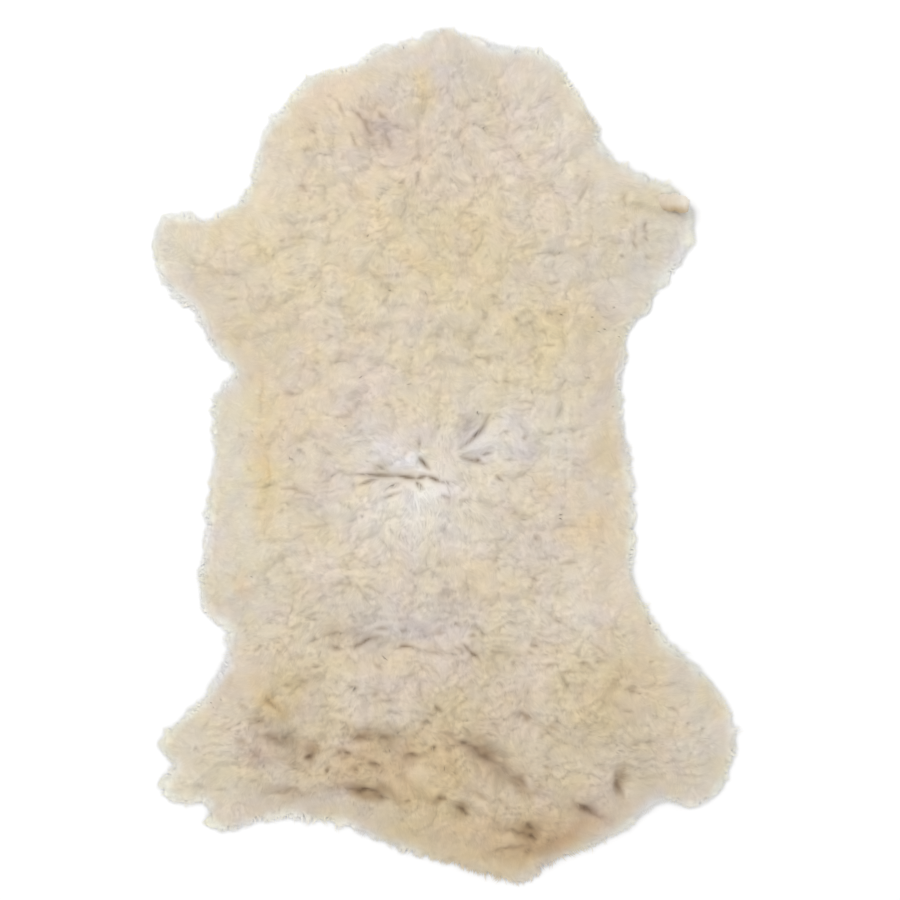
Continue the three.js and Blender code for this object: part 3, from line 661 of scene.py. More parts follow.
# The wool's colours, named for where they show, and where each lies: middle, reach and turn
TONES = {
    "cream": (216, 202, 182),
    "light": (226, 209, 186),
    "ivory": (213, 205, 191),
    "yellow": (216, 199, 166),
    "white": (225, 218, 211),
    "snow": (232, 229, 223),
    "pale": (238, 236, 226),
    "pink": (217, 199, 182),
    "grey": (203, 192, 183),
    "violet": (190, 176, 169),
    "ochre": (218, 195, 155),
    "orange": (216, 186, 140),
    "sand": (203, 185, 156),
    "tan": (203, 178, 141),
    "rust": (186, 152, 113),
    "umber": (163, 137, 105),
    "mauve": (184, 161, 146),
}
PATCHES = [
    # tone, x, y, reach along, reach across, turn, strength
    ("grey", 29, 458, 110, 26, 0, 0.5),
    ("grey", -30, 422, 85, 55, 0, 0.65),
    ("sand", -20, 395, 75, 45, 0, 0.35),
    ("grey", 30, 377, 105, 45, 0, 0.35),
    ("white", 142, 372, 40, 62, 0, 0.6),
    ("pink", -115, 395, 70, 45, -45, 0.7),
    ("sand", -169, 341, 44, 50, 0, 0.5),
    ("light", 190, -120, 34, 80, 0, 0.8),
    ("light", 120, -45, 80, 30, 0, 0.5),
    ("white", 215, 168, 38, 45, 0, 0.65),
    ("white", 265, 235, 45, 50, 0, 0.5),
    ("sand", -255, 240, 50, 45, 0, 0.4),
    ("sand", -225, 72, 48, 38, 0, 0.4),
    ("yellow", 215, 285, 20, 32, 0, 0.8),
    ("pink", 10, 330, 120, 60, 0, 0.5),
    # painted shade in the trough on the left of the neck
    ("violet", -72, 372, 40, 22, -55, 0.6),
    ("ochre", -23, 429, 24, 13, 90, 0.6),
    ("yellow", -215, 178, 80, 90, 0, 0.8),
    ("yellow", -17, 236, 90, 70, 0, 0.9),
    ("ochre", -29, 211, 22, 14, 0, 0.7),
    ("ivory", -309, 236, 44, 50, 0, 0.6),
    ("ivory", 239, 262, 40, 50, 0, 0.6),
    ("yellow", 134, 178, 80, 90, 0, 0.7),
    ("ivory", 146, 213, 35, 35, 0, 0.4),
    ("ivory", -245, -31, 26, 140, 0, 1.0),
    ("yellow", -205, -20, 26, 120, 0, 0.9),
    ("orange", -213, -14, 9, 18, 0, 0.6),
    # painted shade along the step at the edge of the left flank
    ("ochre", -212, 66, 44, 7, 88, 0.6),
    ("ivory", -225, -145, 30, 45, 0, 0.7),
    ("orange", -232, -153, 16, 15, 0, 0.45),
    ("pink", -134, 62, 70, 60, 0, 0.5),
    ("white", -34, -62, 66, 50, 0, 0.55),
    ("white", -95, -70, 36, 36, 0, 0.3),
    ("snow", -42, -13, 26, 9, -8, 0.9),
    ("snow", 52, 14, 30, 11, 28, 0.7),
    ("snow", -20, -50, 42, 18, 0, 0.5),
    ("white", -75, 0, 40, 22, -30, 0.6),
    ("white", -65, 25, 40, 26, 0, 0.35),
    ("white", 62, 22, 70, 40, 0, 0.5),
    ("ivory", 110, 20, 60, 40, 0, 0.5),
    # painted shade in a parting below the whorls
    ("violet", 3, -55, 10, 8, 0, 0.7),
    ("ochre", 169, -90, 30, 26, 0, 0.6),
    ("ochre", 181, 4, 24, 24, 0, 0.5),
    ("grey", -52, -195, 95, 30, 0, 0.8),
    ("white", 146, -185, 30, 22, 0, 0.3),
    ("yellow", 170, -240, 70, 38, 0, 0.6),
    ("pink", 6, -264, 90, 30, 0, 0.5),
    ("sand", 25, -308, 56, 40, 0, 0.7),
    ("sand", 52, -275, 40, 48, 0, 0.45),
    ("sand", 205, -265, 50, 30, 0, 0.6),
    ("sand", -181, -288, 60, 50, 0, 0.9),
    ("sand", -268, -300, 35, 45, 0, 0.35),
    ("tan", -52, -369, 120, 45, 0, 1.0),
    ("light", -41, -372, 28, 18, 0, 0.5),
    ("tan", 75, -372, 45, 22, 0, 0.35),
    ("sand", -29, -428, 90, 30, 0, 0.8),
    ("tan", 95, -440, 80, 40, 20, 0.9),
    ("tan", 60, -452, 140, 34, 5, 0.5),
    ("rust", 130, -450, 50, 14, 24, 0.8),
    ("rust", 96, -452, 12, 12, 0, 0.5),
    ("sand", 181, -334, 90, 60, 0, 0.8),
    ("light", 185, -358, 30, 20, 0, 0.4),
    ("ivory", 297, -334, 30, 55, 0, 0.45),
    ("ivory", -285, -369, 42, 50, 0, 0.6),
    ("grey", -169, -410, 48, 24, 0, 0.5),
    ("tan", -199, -295, 18, 9, -20, 0.7),
    ("orange", -222, -266, 12, 30, 0, 0.3),
    # The mauve and umber rows from here on lie along the rump's creases: painted shade in them
    ("mauve", 40, -348, 34, 8, -32, 0.75),
    ("umber", 87, -381, 18, 11, -20, 0.6),
    ("mauve", 163, -414, 20, 9, -30, 0.7),
    ("umber", 203, -385, 17, 7, -75, 0.5),
    ("umber", 97, -446, 8, 7, 0, 0.7),
    ("umber", 20, -416, 12, 8, -50, 0.5),
    ("umber", -9, -401, 16, 6, -20, 0.4),
    ("umber", -156, -348, 14, 10, 0, 0.8),
    ("umber", -182, -357, 22, 6, -20, 0.45),
    ("mauve", -217, -350, 20, 14, -20, 0.6),
    ("mauve", -180, -393, 34, 6, 4, 0.45),
    ("umber", -92, -394, 36, 9, -8, 0.7),
    ("umber", -95, -328, 16, 8, 10, 0.6),
    ("umber", -186, -337, 16, 6, -25, 0.5),
    ("umber", -70, -331, 40, 9, -12, 0.35),
]
PATCHES += [  # painted shade in umber on both sides of the rump's creases
    ("umber", x, y, 0.5 * length, 7, turn, 0.55 * dark)
    for x, y, length, turn, _, dark in PARTINGS["rump"]
]
PATCH_ROWS = np.array([row[1:] for row in PATCHES], float)
PATCH_COLOURS = linear([TONES[row[0]] for row in PATCHES])
BASE_COLOUR = linear(TONES["cream"])
TINTS = [  # the clouds of other tones: the shift from the base, their size, their kind and how strong
    (linear(TONES[tone]) / BASE_COLOUR, size, kind, most)
    for tone, size, kind, most in (
        ("yellow", 48, 35, 0.45), ("yellow", 19, 37, 0.4), ("pink", 23, 38, 0.6), ("grey", 30, 36, 0.3),
        ("grey", 12, 39, 0.25),
    )
]
# The colour of the painted shade in the partings, the creases and under the tufts' edges
PARTING_SHADE = linear((124, 102, 78))
# The tones above are as seen, and the wool's own colour is this times them
WOOL_LIFT = np.array([0.955, 0.983, 1.001])


def wool_colour(x, y):
    """The wool's colour at (x, y): the base, with each patch laid over it as a soft ellipse whose
    edge the clouds make ragged, then larger and smaller clouds of yellow and grey. Some patches are painted
    shade in creases and troughs, and towards the rim it is paler, partly with painted light."""
    jitter_x = 16 * (clouds(x, y, 23, 31) - 0.5) + 8 * (clouds(x, y, 9, 32) - 0.5)
    jitter_y = 16 * (clouds(x, y, 23, 33) - 0.5) + 8 * (clouds(x, y, 9, 34) - 0.5)
    colour = np.tile(BASE_COLOUR, (len(x), 1))
    for row, tone in zip(PATCH_ROWS, PATCH_COLOURS):
        mid_x, mid_y, along, across, turn, strength = row
        angle = math.radians(turn)
        dx, dy = x + jitter_x - mid_x, y + jitter_y - mid_y
        a = (dx * math.cos(angle) + dy * math.sin(angle)) / along
        b = (dy * math.cos(angle) - dx * math.sin(angle)) / across
        share = strength * np.exp(-(a * a + b * b))
        colour += (tone - colour) * share[:, None]
    # Towards the tips' line the wool turns pale: partly the rim's own paler wool, partly painted light
    # against the shade at the rim
    rim = 0.85 * np.exp(-((np.maximum(inside_tips(x, y) + jitter_x / 3, 0) / 8) ** 2))
    rim *= 1 - 0.85 * np.exp(-(((x - 60) / 135) ** 2) - ((y + 488) / 60) ** 2)
    colour += (linear(TONES["pale"]) - colour) * rim[:, None]
    for shift, size, kind, most in TINTS:
        share = most * smooth(2.2 * clouds(x, y, size, kind) - 0.75)
        colour *= 1 + (shift - 1) * share[:, None]
    # At the very edge the colour is painted lighter still, against the shade among the strands there
    thin = 1 + 0.09 * np.exp(-((np.maximum(inside_tips(x, y), 0) / 3.5) ** 2))
    return np.minimum(colour * WOOL_LIFT * thin[:, None], 0.95)


def slope_normals(x, y, spread):
    """The upward normals of the wool's top, from its rise over a short spread each way. At the rim
    light goes through the thin wool, so the normals turn up there."""
    gx = (wool_top(x + spread, y) - wool_top(x - spread, y)) / (2 * spread)
    gy = (wool_top(x, y + spread) - wool_top(x, y - spread)) / (2 * spread)
    fall = 0.1 + 0.9 * smooth((inside_tips(x, y) - 3) / 24)
    normals = np.stack([-gx * fall, -gy * fall, np.ones(len(x))], axis=1)
    return normals / np.linalg.norm(normals, axis=1, keepdims=True)


def paint_shade(colour, x, y, share):
    """Paints the shade of the partings into the colours, as much as share says."""
    dark = (share * look_up(painted_shade_field, x, y))[:, None]
    return colour * (1 - dark) + PARTING_SHADE * dark


def wool_material(name):
    """Wool: a rough shader with a soft sheen that takes its colour from the piece's attribute."""
    material, nodes, links, shader = node_material(name)
    tone = nodes.new("ShaderNodeVertexColor")
    tone.layer_name = "tone"
    links.new(tone.outputs["Color"], shader.inputs["Base Color"])
    shader.inputs["Roughness"].default_value = 0.85
    shader.inputs["Specular IOR Level"].default_value = 0.15
    shader.inputs["Sheen Weight"].default_value = 0.15
    shader.inputs["Sheen Roughness"].default_value = 0.6
    return material


def wool_piece(name, points, triangles, corner_uv, normals, colours):
    """A piece of wool with the given normals and colours at its points."""
    piece = mesh_piece(name, points, triangles, corner_uv, wool_material(name))
    normals = normals / np.linalg.norm(normals, axis=1, keepdims=True)
    piece.data.normals_split_custom_set_from_vertices(normals.astype(np.float32))
    colour_points(piece, colours)
    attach(piece, "root")
    return piece


mat_xy, mat_faces, mat_loop = lattice(MAT_CELL, TIP_REACH - MAT_REACH, RIM_LOBE)
mat_count, rim_count = len(mat_xy), len(mat_loop)
mat_z = np.maximum(wool_top(*mat_xy.T) - MAT_DEPTH, PELT_THICKNESS + 0.5)
mat_foot = 0.6 * PELT_THICKNESS  # the mat's underside lies inside the pelt's thickness
mat_points = np.vstack([
    np.column_stack([mat_xy, mat_z]),
    np.column_stack([mat_xy[mat_loop], np.full(rim_count, mat_foot)]),
])
foot = mat_count + np.arange(rim_count)
mat_wall = np.concatenate([
    np.stack([mat_loop, foot, np.roll(mat_loop, -1)], 1),
    np.stack([np.roll(mat_loop, -1), foot, np.roll(foot, -1)], 1),
])
under = np.array(tessellate_polygon([[Vector((*p, 0)) for p in mat_xy[mat_loop]]]))
under_corners = mat_xy[mat_loop][under]
under_sides = under_corners[:, 1:] - under_corners[:, :1]
turned = np.cross(under_sides[:, 0], under_sides[:, 1]) > 0
under = np.where(turned[:, None], under[:, ::-1], under) + mat_count
mat_triangles = np.concatenate([mat_faces, mat_wall, under])

# On the map the top lies as it is seen from above, the wall a band round it, the underside small
MAT_MAP = 1100
mat_uv = (mat_points[:, :2] + [360, 540]) / MAT_MAP
rim_x, rim_y = outward(*mat_xy[mat_loop].T)
mat_uv[mat_count:] += np.column_stack([rim_x, rim_y]) * 6 / MAT_MAP
mat_corner_uv = mat_uv[mat_triangles]
mat_corner_uv[-len(under):] = mat_corner_uv[-len(under):] * 0.25 + [0.73, 0.0]

mat_shade = slope_normals(*mat_points[:, :2].T, MAT_CELL)
mat_shade[mat_count:] = np.column_stack([rim_x, rim_y, np.zeros(rim_count)])  # its wall faces outwards
# The mat is painted lighter against the strands' shade on it, and takes most of the partings' painted shade
mat_colour = paint_shade(wool_colour(*mat_points[:, :2].T) * MAT_PAINTED_LIGHT, *mat_points[:, :2].T, MAT_DARK)
underwool = wool_piece("underwool", mat_points, mat_triangles, mat_corner_uv, mat_shade, mat_colour)
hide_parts("sheepskin")

# The fleece is the wool that shows: tufts of crimped fibres whose ends cling together in soft tips.
# They lean away from the two whorls on the back and outwards at the rim, and lie over each other.
# Each strand here is a slim tapered tube, and a tuft is a few of them that draw together.

LOCK_PITCH = 12.5
STRAND_GAP = 3.38  # pitch of the strands' roots
STRAND_WIDTH, STRAND_THICKNESS = 2.1, 0.42
STATIONS = 4
STATION_POINTS = [3, 3, 3, 1]  # how many points a strand has at each station, from root to tip
STRAND_SIZES = np.array([0.9, 1.0, 0.7, 0.0])
# A strand's tone from root to tip: a little darker at the root, painted shade where it goes into the mat,
# and lighter towards the tip
STRAND_TONES = np.array([0.98, 1.0, 1.01, 1.02])
STRAND_DARK = np.repeat([0.9, 0.85, 0.75, 0.6], STATION_POINTS)  # how much of the painted shade each point takes

# Which way the wool leans on each part, in degrees from +X, how long its tips lie there, how far
# each tuft may stray, and how far this holds
LEANS = np.array([row[1:] for row in [
    # place, x, y, reach, turn, length, stray
    ("neck, top", 10, 440, 80, 90, 24, 25),
    ("neck, left", -110, 370, 70, 128, 26, 25),
    ("neck, right", 110, 390, 70, 55, 24, 25),
    ("neck, middle", 10, 340, 70, -88, 28, 25),
    ("shoulders", 0, 240, 80, -95, 20, 55),
    ("left shoulder", -170, 220, 80, 195, 19, 50),
    ("left foreleg", -300, 225, 50, 160, 13, 18),
    ("right shoulder", 160, 230, 80, -15, 20, 50),
    ("right foreleg", 250, 250, 50, -40, 16, 30),
    ("back", 0, 130, 70, -80, 18, 60),
    ("left back", -140, 60, 80, 190, 18, 60),
    ("right back", 140, 80, 80, -10, 18, 60),
    ("left flank", -245, -60, 45, 180, 12, 15),
    ("right flank", 190, -80, 60, -20, 18, 50),
    ("left belly", -130, -120, 70, 215, 20, 45),
    ("belly", -20, -150, 70, -95, 26, 30),
    ("right belly", 110, -150, 70, -50, 20, 45),
    ("loin", -40, -240, 70, -80, 24, 40),
    ("left rump", -180, -310, 70, -140, 26, 35),
    ("rump", -50, -350, 70, -55, 26, 35),
    ("right rump", 90, -350, 70, -60, 26, 35),
    ("tail", 60, -440, 60, -85, 26, 30),
    ("thigh", 200, -330, 70, -30, 24, 35),
    ("right hind leg", 300, -340, 50, -10, 20, 25),
    ("left hind leg", -280, -370, 50, -145, 20, 30),
]], float)
WHORLS = [(-45, -26, 75), (8, -4, 75)]  # x, y and reach of the two points that the wool grows out from


def lean(x, y):
    """The way the wool leans at (x, y), as an angle, with its length and stray: the mean of the
    nearby parts' ways, of the ways out from the whorls, and outwards at the rim."""
    mid_x, mid_y, reach, turn, length, stray = LEANS.T
    share = np.exp(-((x[:, None] - mid_x) ** 2 + (y[:, None] - mid_y) ** 2) / reach**2) + 1e-9
    vx = (share * np.cos(np.radians(turn))).sum(1) / share.sum(1)
    vy = (share * np.sin(np.radians(turn))).sum(1) / share.sum(1)
    lengths = (share * length).sum(1) / share.sum(1)
    strays = (share * stray).sum(1) / share.sum(1)
    for whorl_x, whorl_y, whorl_reach in WHORLS:
        dx, dy = x - whorl_x, y - whorl_y
        away = np.hypot(dx, dy) + 1e-6
        pull = 2.2 * np.exp(-((away / whorl_reach) ** 2))
        vx, vy = vx + pull * dx / away, vy + pull * dy / away
        strays *= 1 - 0.75 * np.exp(-((away / whorl_reach) ** 2))
        lengths += 5 * np.exp(-((away / whorl_reach) ** 2))
    ox, oy = outward(x, y)
    rim = 2.5 * np.exp(-((np.maximum(inside_tips(x, y) - 5, 0) / 30) ** 2))
    vx, vy = vx + rim * ox, vy + rim * oy
    strays = strays * (1 - 0.3 * np.minimum(rim, 1))
    lengths = lengths * (1 - 0.6 * np.exp(-((np.maximum(inside_tips(x, y) - 4, 0) / 12) ** 2)))
    return np.arctan2(vy, vx), lengths, strays


def strand_roots(gap, seed, least, most):
    """Roots scattered evenly over the skin where the distance inside the mat's edge is from least to
    most."""
    rng = np.random.default_rng(seed)
    i, j = np.meshgrid(np.arange(-370, 370, gap), np.arange(-520, 520, gap), indexing="ij")
    x = i.ravel() + rng.uniform(-0.5, 0.5, i.size) * gap
    y = j.ravel() + rng.uniform(-0.5, 0.5, j.size) * gap
    inside = inside_tips(x, y) - (TIP_REACH - MAT_REACH) - lobes(x, y, RIM_LOBE)
    kept = (inside > least) & (inside < most)
    return x[kept], y[kept]


def tubes(paths, widths, thicknesses, sides=3):
    """Closed tapered tubes: paths is strands by stations by 3, and the last station is the tip.
    A ring lies across each other station. Returns points, triangles, corner places on the map and
    the tubes' own normals."""
    count, stations, _ = paths.shape
    along = np.gradient(paths, axis=1)
    along /= np.linalg.norm(along, axis=2, keepdims=True) + 1e-9
    side = np.cross(along, [0, 0, 1.0])
    side /= np.linalg.norm(side, axis=2, keepdims=True) + 1e-9
    up = np.cross(side, along)
    angle = np.radians(90 + 360 / sides * np.arange(sides))[None, None, :, None]
    spokes = side[:, :-1, None] * np.cos(angle) * widths[:, :-1, None, None] / 2
    spokes = spokes + up[:, :-1, None] * np.sin(angle) * thicknesses[:, :-1, None, None] / 2
    normals = side[:, :-1, None] * np.cos(angle) + up[:, :-1, None] * np.sin(angle)
    rings = paths[:, :-1, None] + spokes
    rings = rings.reshape(count, -1, 3)
    points = np.concatenate([rings, paths[:, -1:]], axis=1)
    normals = np.concatenate([normals.reshape(count, -1, 3), along[:, -1:]], axis=1)
    levels = stations - 1
    one, spots = [], []
    for level in range(levels - 1):
        for k in range(sides):
            a, b = level * sides + k, level * sides + (k + 1) % sides
            one += [(a, a + sides, b), (b, a + sides, b + sides)]
            low, high = level / levels, (level + 1) / levels
            left, right = k / sides, (k + 1) / sides
            spots += [((left, low), (left, high), (right, low)), ((right, low), (left, high), (right, high))]
    tip, last = levels * sides, (levels - 1) * sides
    for k in range(sides):
        one.append((last + k, tip, last + (k + 1) % sides))
        left, right = k / sides, (k + 1) / sides
        spots.append(((left, 1 - 1 / levels), ((left + right) / 2, 1), (right, 1 - 1 / levels)))
    one.append((0, 1, 2))
    spots.append(((0, 0), (0.5, 0.06), (1, 0)))
    one, spots = np.array(one), np.array(spots, float)
    per = levels * sides + 1
    triangles = (one[None] + per * np.arange(count)[:, None, None]).reshape(-1, 3)
    wide = math.ceil(math.sqrt(count))
    cell = np.stack([np.arange(count) % wide, np.arange(count) // wide], axis=1)
    uv = (cell[:, None, None] + 0.06 + 0.88 * spots[None]) / wide
    return points.reshape(-1, 3), triangles, uv.reshape(-1, 3, 2), normals.reshape(-1, 3)


def folded(points, triangles, uv, normals, count):
    """Which of the count tubes fold over themselves in a sharp bend: one of their sides faces
    against its own normals."""
    corners = points[triangles]
    facing = np.cross(corners[:, 1] - corners[:, 0], corners[:, 2] - corners[:, 0])
    against = (facing * normals[triangles].sum(1)).sum(1).reshape(count, -1)[:, :-1] < 0
    return against.any(axis=1)


def strand_paths(x, y, seed):
    """The strands' paths, by strands, stations and 3. Each leans and bends as its tuft does, draws
    towards the tuft's crown, waves a little, comes out of the mat, lies over it and tucks its tip in."""
    rng = np.random.default_rng(seed)
    count = len(x)
    _, crown_x, crown_y, column, row = crowns(x, y, LOCK_PITCH, 0.85, 51)
    way, length, stray = lean(crown_x, crown_y)
    swirl = 2.6 * (clouds(x, y, 27, 57) - 0.5) + 1.2 * (clouds(x, y, 12, 58) - 0.5)
    tuft_turn = 0.3 * (2 * scatter(column, row, 53) - 1)
    tuft_bend = np.radians(1.6 * stray + 15) * (2 * scatter(column, row, 54) - 1)
    way = way + np.radians(stray) * (swirl + tuft_turn) + np.radians(6) * rng.standard_normal(count)
    apart = np.stack([look_up(way_x_field, x, y), look_up(way_y_field, x, y)], axis=1)
    side = np.sign(np.cos(way) * apart[:, 1] - np.sin(way) * apart[:, 0])
    on_line = smooth(2.5 * look_up(painted_shade_field, x, y) - 0.8) * side
    way_x = np.cos(way) + 2.5 * apart[:, 0] * (1 - np.abs(on_line)) + 6 * apart[:, 1] * on_line
    way_y = np.sin(way) + 2.5 * apart[:, 1] * (1 - np.abs(on_line)) - 6 * apart[:, 0] * on_line
    way = np.arctan2(way_y, way_x)
    parted = np.minimum(1, 2.5 * np.hypot(*apart.T))
    length = length * (0.8 + 0.4 * scatter(column, row, 55)) * rng.uniform(0.75, 1.15, count)
    gather = 0.4 * rng.uniform(0.7, 1.1, count) * (1 - parted)
    wave = rng.uniform(0.4, 1.6, count)
    phase = 2 * np.pi * scatter(column, row, 56) + rng.uniform(-0.8, 0.8, count)
    spot = np.stack([x, y], axis=1)
    pull = np.stack([crown_x - x, crown_y - y], axis=1) * gather[:, None]
    stations = [spot]
    for k in range(1, STATIONS):
        share = k / (STATIONS - 1)
        heading = way + (1 - parted) * tuft_bend * (share - 0.5 / (STATIONS - 1))
        step = np.stack([np.cos(heading), np.sin(heading)], axis=1) * (length / (STATIONS - 1))[:, None]
        sway = wave * np.cos(phase + 4.2 * share)
        across = np.stack([-np.sin(heading), np.cos(heading)], axis=1) * sway[:, None]
        draw = pull * (share**1.4 - ((k - 1) / (STATIONS - 1)) ** 1.4)
        spot = spot + step + draw
        stations.append(spot + across)
    flat = np.stack(stations, axis=1)
    back = smooth((inside_tips(x, y) - 8) / 20) * (1 - parted)
    flat -= ((flat[:, 1] + flat[:, 2]) / 2 - flat[:, 0])[:, None] * back[:, None, None]
    lift = np.stack([
        np.full(count, -5.0),
        rng.uniform(-0.25, 0.15, count),
        rng.uniform(-0.15, 0.3, count),
        rng.uniform(-0.9, 0.05, count),
    ], axis=1)
    stray_up = rng.random(count) < 0.015
    lift[stray_up, 2:] += rng.uniform(0.4, 1.4, (stray_up.sum(), 2))
    tall = wool_top(flat[..., 0].ravel(), flat[..., 1].ravel()).reshape(flat.shape[:2])
    z = np.maximum(tall + lift, 0.9)
    z[:, 0] = np.maximum(tall[:, 0] + lift[:, 0], PELT_THICKNESS)
    return np.concatenate([flat, z[..., None]], axis=2), column, row


def fleece_piece(name, x, y, seed):
    """One part of the fleece: its strands' tubes, shaded mostly as the relief that they lie on.
    Strands that bridge a dark line or a hollow, or fold over themselves, are left out."""
    rng = np.random.default_rng(seed)
    paths, column, row = strand_paths(x, y, seed)
    between = [paths[:, 1:3] + (paths[:, 2:] - paths[:, 1:3]) * part for part in (0, 0.25, 0.5, 0.75, 1)]
    over = np.max([look_up(painted_shade_field, spot[..., 0], spot[..., 1]) for spot in between], axis=0)
    rooted = look_up(painted_shade_field, x, y) > 0.25
    free = np.max([(spot[..., 2] - wool_top(spot[..., 0], spot[..., 1])).max(1) for spot in between], axis=0)
    kept = (over[:, 1] < 0.32) & ((over[:, 0] < 0.32) | (rooted & (over[:, 0] < 0.65)))
    kept &= (free < 0.75) | (inside_tips(x, y) < 9)
    size = rng.uniform(0.7, 1.25, len(x))[:, None] * STRAND_SIZES
    size *= (0.5 + 0.5 * smooth((inside_tips(x, y) - 4) / 12))[:, None]
    kept &= ~folded(*tubes(paths, STRAND_WIDTH * size, STRAND_THICKNESS * size), len(x))
    size = size[kept]
    paths, column, row, x, y = paths[kept], column[kept], row[kept], x[kept], y[kept]
    points, triangles, uv, normals = tubes(paths, STRAND_WIDTH * size, STRAND_THICKNESS * size)
    points[:, 2] = np.maximum(points[:, 2], 0.2)
    base = wool_colour(*paths[..., :2].reshape(-1, 2).T).reshape(len(x), STATIONS, 3)
    lively = 1 + 1.5 * np.exp(-((x + 25) ** 2 + (y + 45) ** 2) / 70**2)
    shift = lively * (0.05 * (scatter(column, row, 59) - 0.5) + 0.03 * (rng.random(len(x)) - 0.5))
    base *= (1 + shift)[:, None, None] * STRAND_TONES[None, :, None]
    colours = np.repeat(base, STATION_POINTS, axis=1).reshape(-1, 3)
    colours = paint_shade(colours, points[:, 0], points[:, 1], np.tile(STRAND_DARK, len(x)))
    shade = 0.97 * slope_normals(points[:, 0], points[:, 1], 2.0) + 0.03 * normals
    return wool_piece(name, points, triangles, uv, shade, np.minimum(colours, 0.95))


FLEECE_PARTS = ["fleece_tail", "fleece_loin", "fleece_back", "fleece_neck"]
root_x, root_y = strand_roots(STRAND_GAP, 7, 0.8, np.inf)
order = np.argsort(root_y)
fleece = [
    fleece_piece(name, root_x[part], root_y[part], 100 + number)
    for number, (name, part) in enumerate(zip(FLEECE_PARTS, np.array_split(order, len(FLEECE_PARTS))))
]

# The rim ends in fine wisps of wool that fray out over the floor, and in a few pointed tufts.
# They are the ends of the outermost locks, so they grow out of the low edge of the underwool.

WISP_GAP, WISP_WIDTH, WISP_THICKNESS, WISP_BAND = 1.3, 0.9, 0.14, (-1, 6)


def wisp_paths(x, y, seed):
    """The wisps' paths, by wisps, 3 stations and 3: outwards from the rim, strayed as the clouds
    say, and drawn to the tip of a pointed tuft where one is near."""
    rng = np.random.default_rng(seed)
    count = len(x)
    ox, oy = outward(x, y)
    way = np.arctan2(oy, ox) + 1.7 * (clouds(x, y, 11, 81) - 0.5)
    way = way + np.radians(16) * rng.standard_normal(count)
    length = rng.uniform(3, 10.5, count) * (0.5 + clouds(x, y, 8, 82))
    turn = rng.uniform(-0.5, 0.5, count)
    middle = np.stack([x + 0.5 * length * np.cos(way - turn), y + 0.5 * length * np.sin(way - turn)], axis=1)
    end = np.stack([x + length * np.cos(way), y + length * np.sin(way)], axis=1)
    near, tip = near_tips(x, y, 11)
    stray = rng.normal(0, 1.0, (count, 2))
    end += (tip + stray - end) * (0.9 * smooth(1.6 * near))[:, None]
    middle += ((tip + np.stack([x, y], axis=1)) / 2 + stray - middle) * (0.7 * smooth(1.6 * near))[:, None]
    flat = np.stack([np.stack([x, y], axis=1), middle, end], axis=1)
    tall = wool_top(flat[..., 0], flat[..., 1])
    lift = np.stack([
        np.full(count, -1.2),
        rng.uniform(-0.2, 0.4, count),
        rng.uniform(-0.8, 0.4, count),
    ], axis=1)
    return np.concatenate([flat, np.maximum(tall + lift, 0.6)[..., None]], axis=2)


wisp_x, wisp_y = strand_roots(WISP_GAP, 31, *WISP_BAND)
wisp_lines = wisp_paths(wisp_x, wisp_y, 32)
wisp_taper = np.tile([1.0, 0.85, 0.0], (len(wisp_x), 1))
wisp_points, wisp_triangles, wisp_uv, wisp_normals = tubes(
    wisp_lines, WISP_WIDTH * wisp_taper, WISP_THICKNESS * wisp_taper
)
wisp_shade = 0.95 * slope_normals(wisp_points[:, 0], wisp_points[:, 1], 3.0) + 0.05 * wisp_normals
wisp_base = wool_colour(*wisp_lines[..., :2].reshape(-1, 2).T).reshape(len(wisp_x), 3, 3)
# Each wisp is up to 6% lighter at random: tone that varies, and on the whole painted light against the shade
# among the wisps
wisp_base *= np.random.default_rng(33).uniform(1.0, 1.06, (len(wisp_x), 1, 1))
wisp_colour = np.minimum(np.repeat(wisp_base, [3, 3, 1], axis=1).reshape(-1, 3), 0.95)
wisps = wool_piece("rim_wisps", wisp_points, wisp_triangles, wisp_uv, wisp_shade, wisp_colour)

# The curled edge is a stretch of the hide itself, at the top of the right foreleg.
# It has dried into a roll: it turns up from the pelt's edge, over and in, flesh side outwards.

CURL_LINE = np.array([(231, 294, 3), (246, 292.5, 10), (261, 290.5, 17), (273, 289.5, 18), (284, 288, 17)])
CURL_RADIUS, CURL_INNER, CURL_HIDE = 13.2, 8, 2.2  # of its first and last turn, and the hide's thickness
CURL_FROM, CURL_SWEEP = -95, 350  # degrees that the roll turns through, from under its outer side


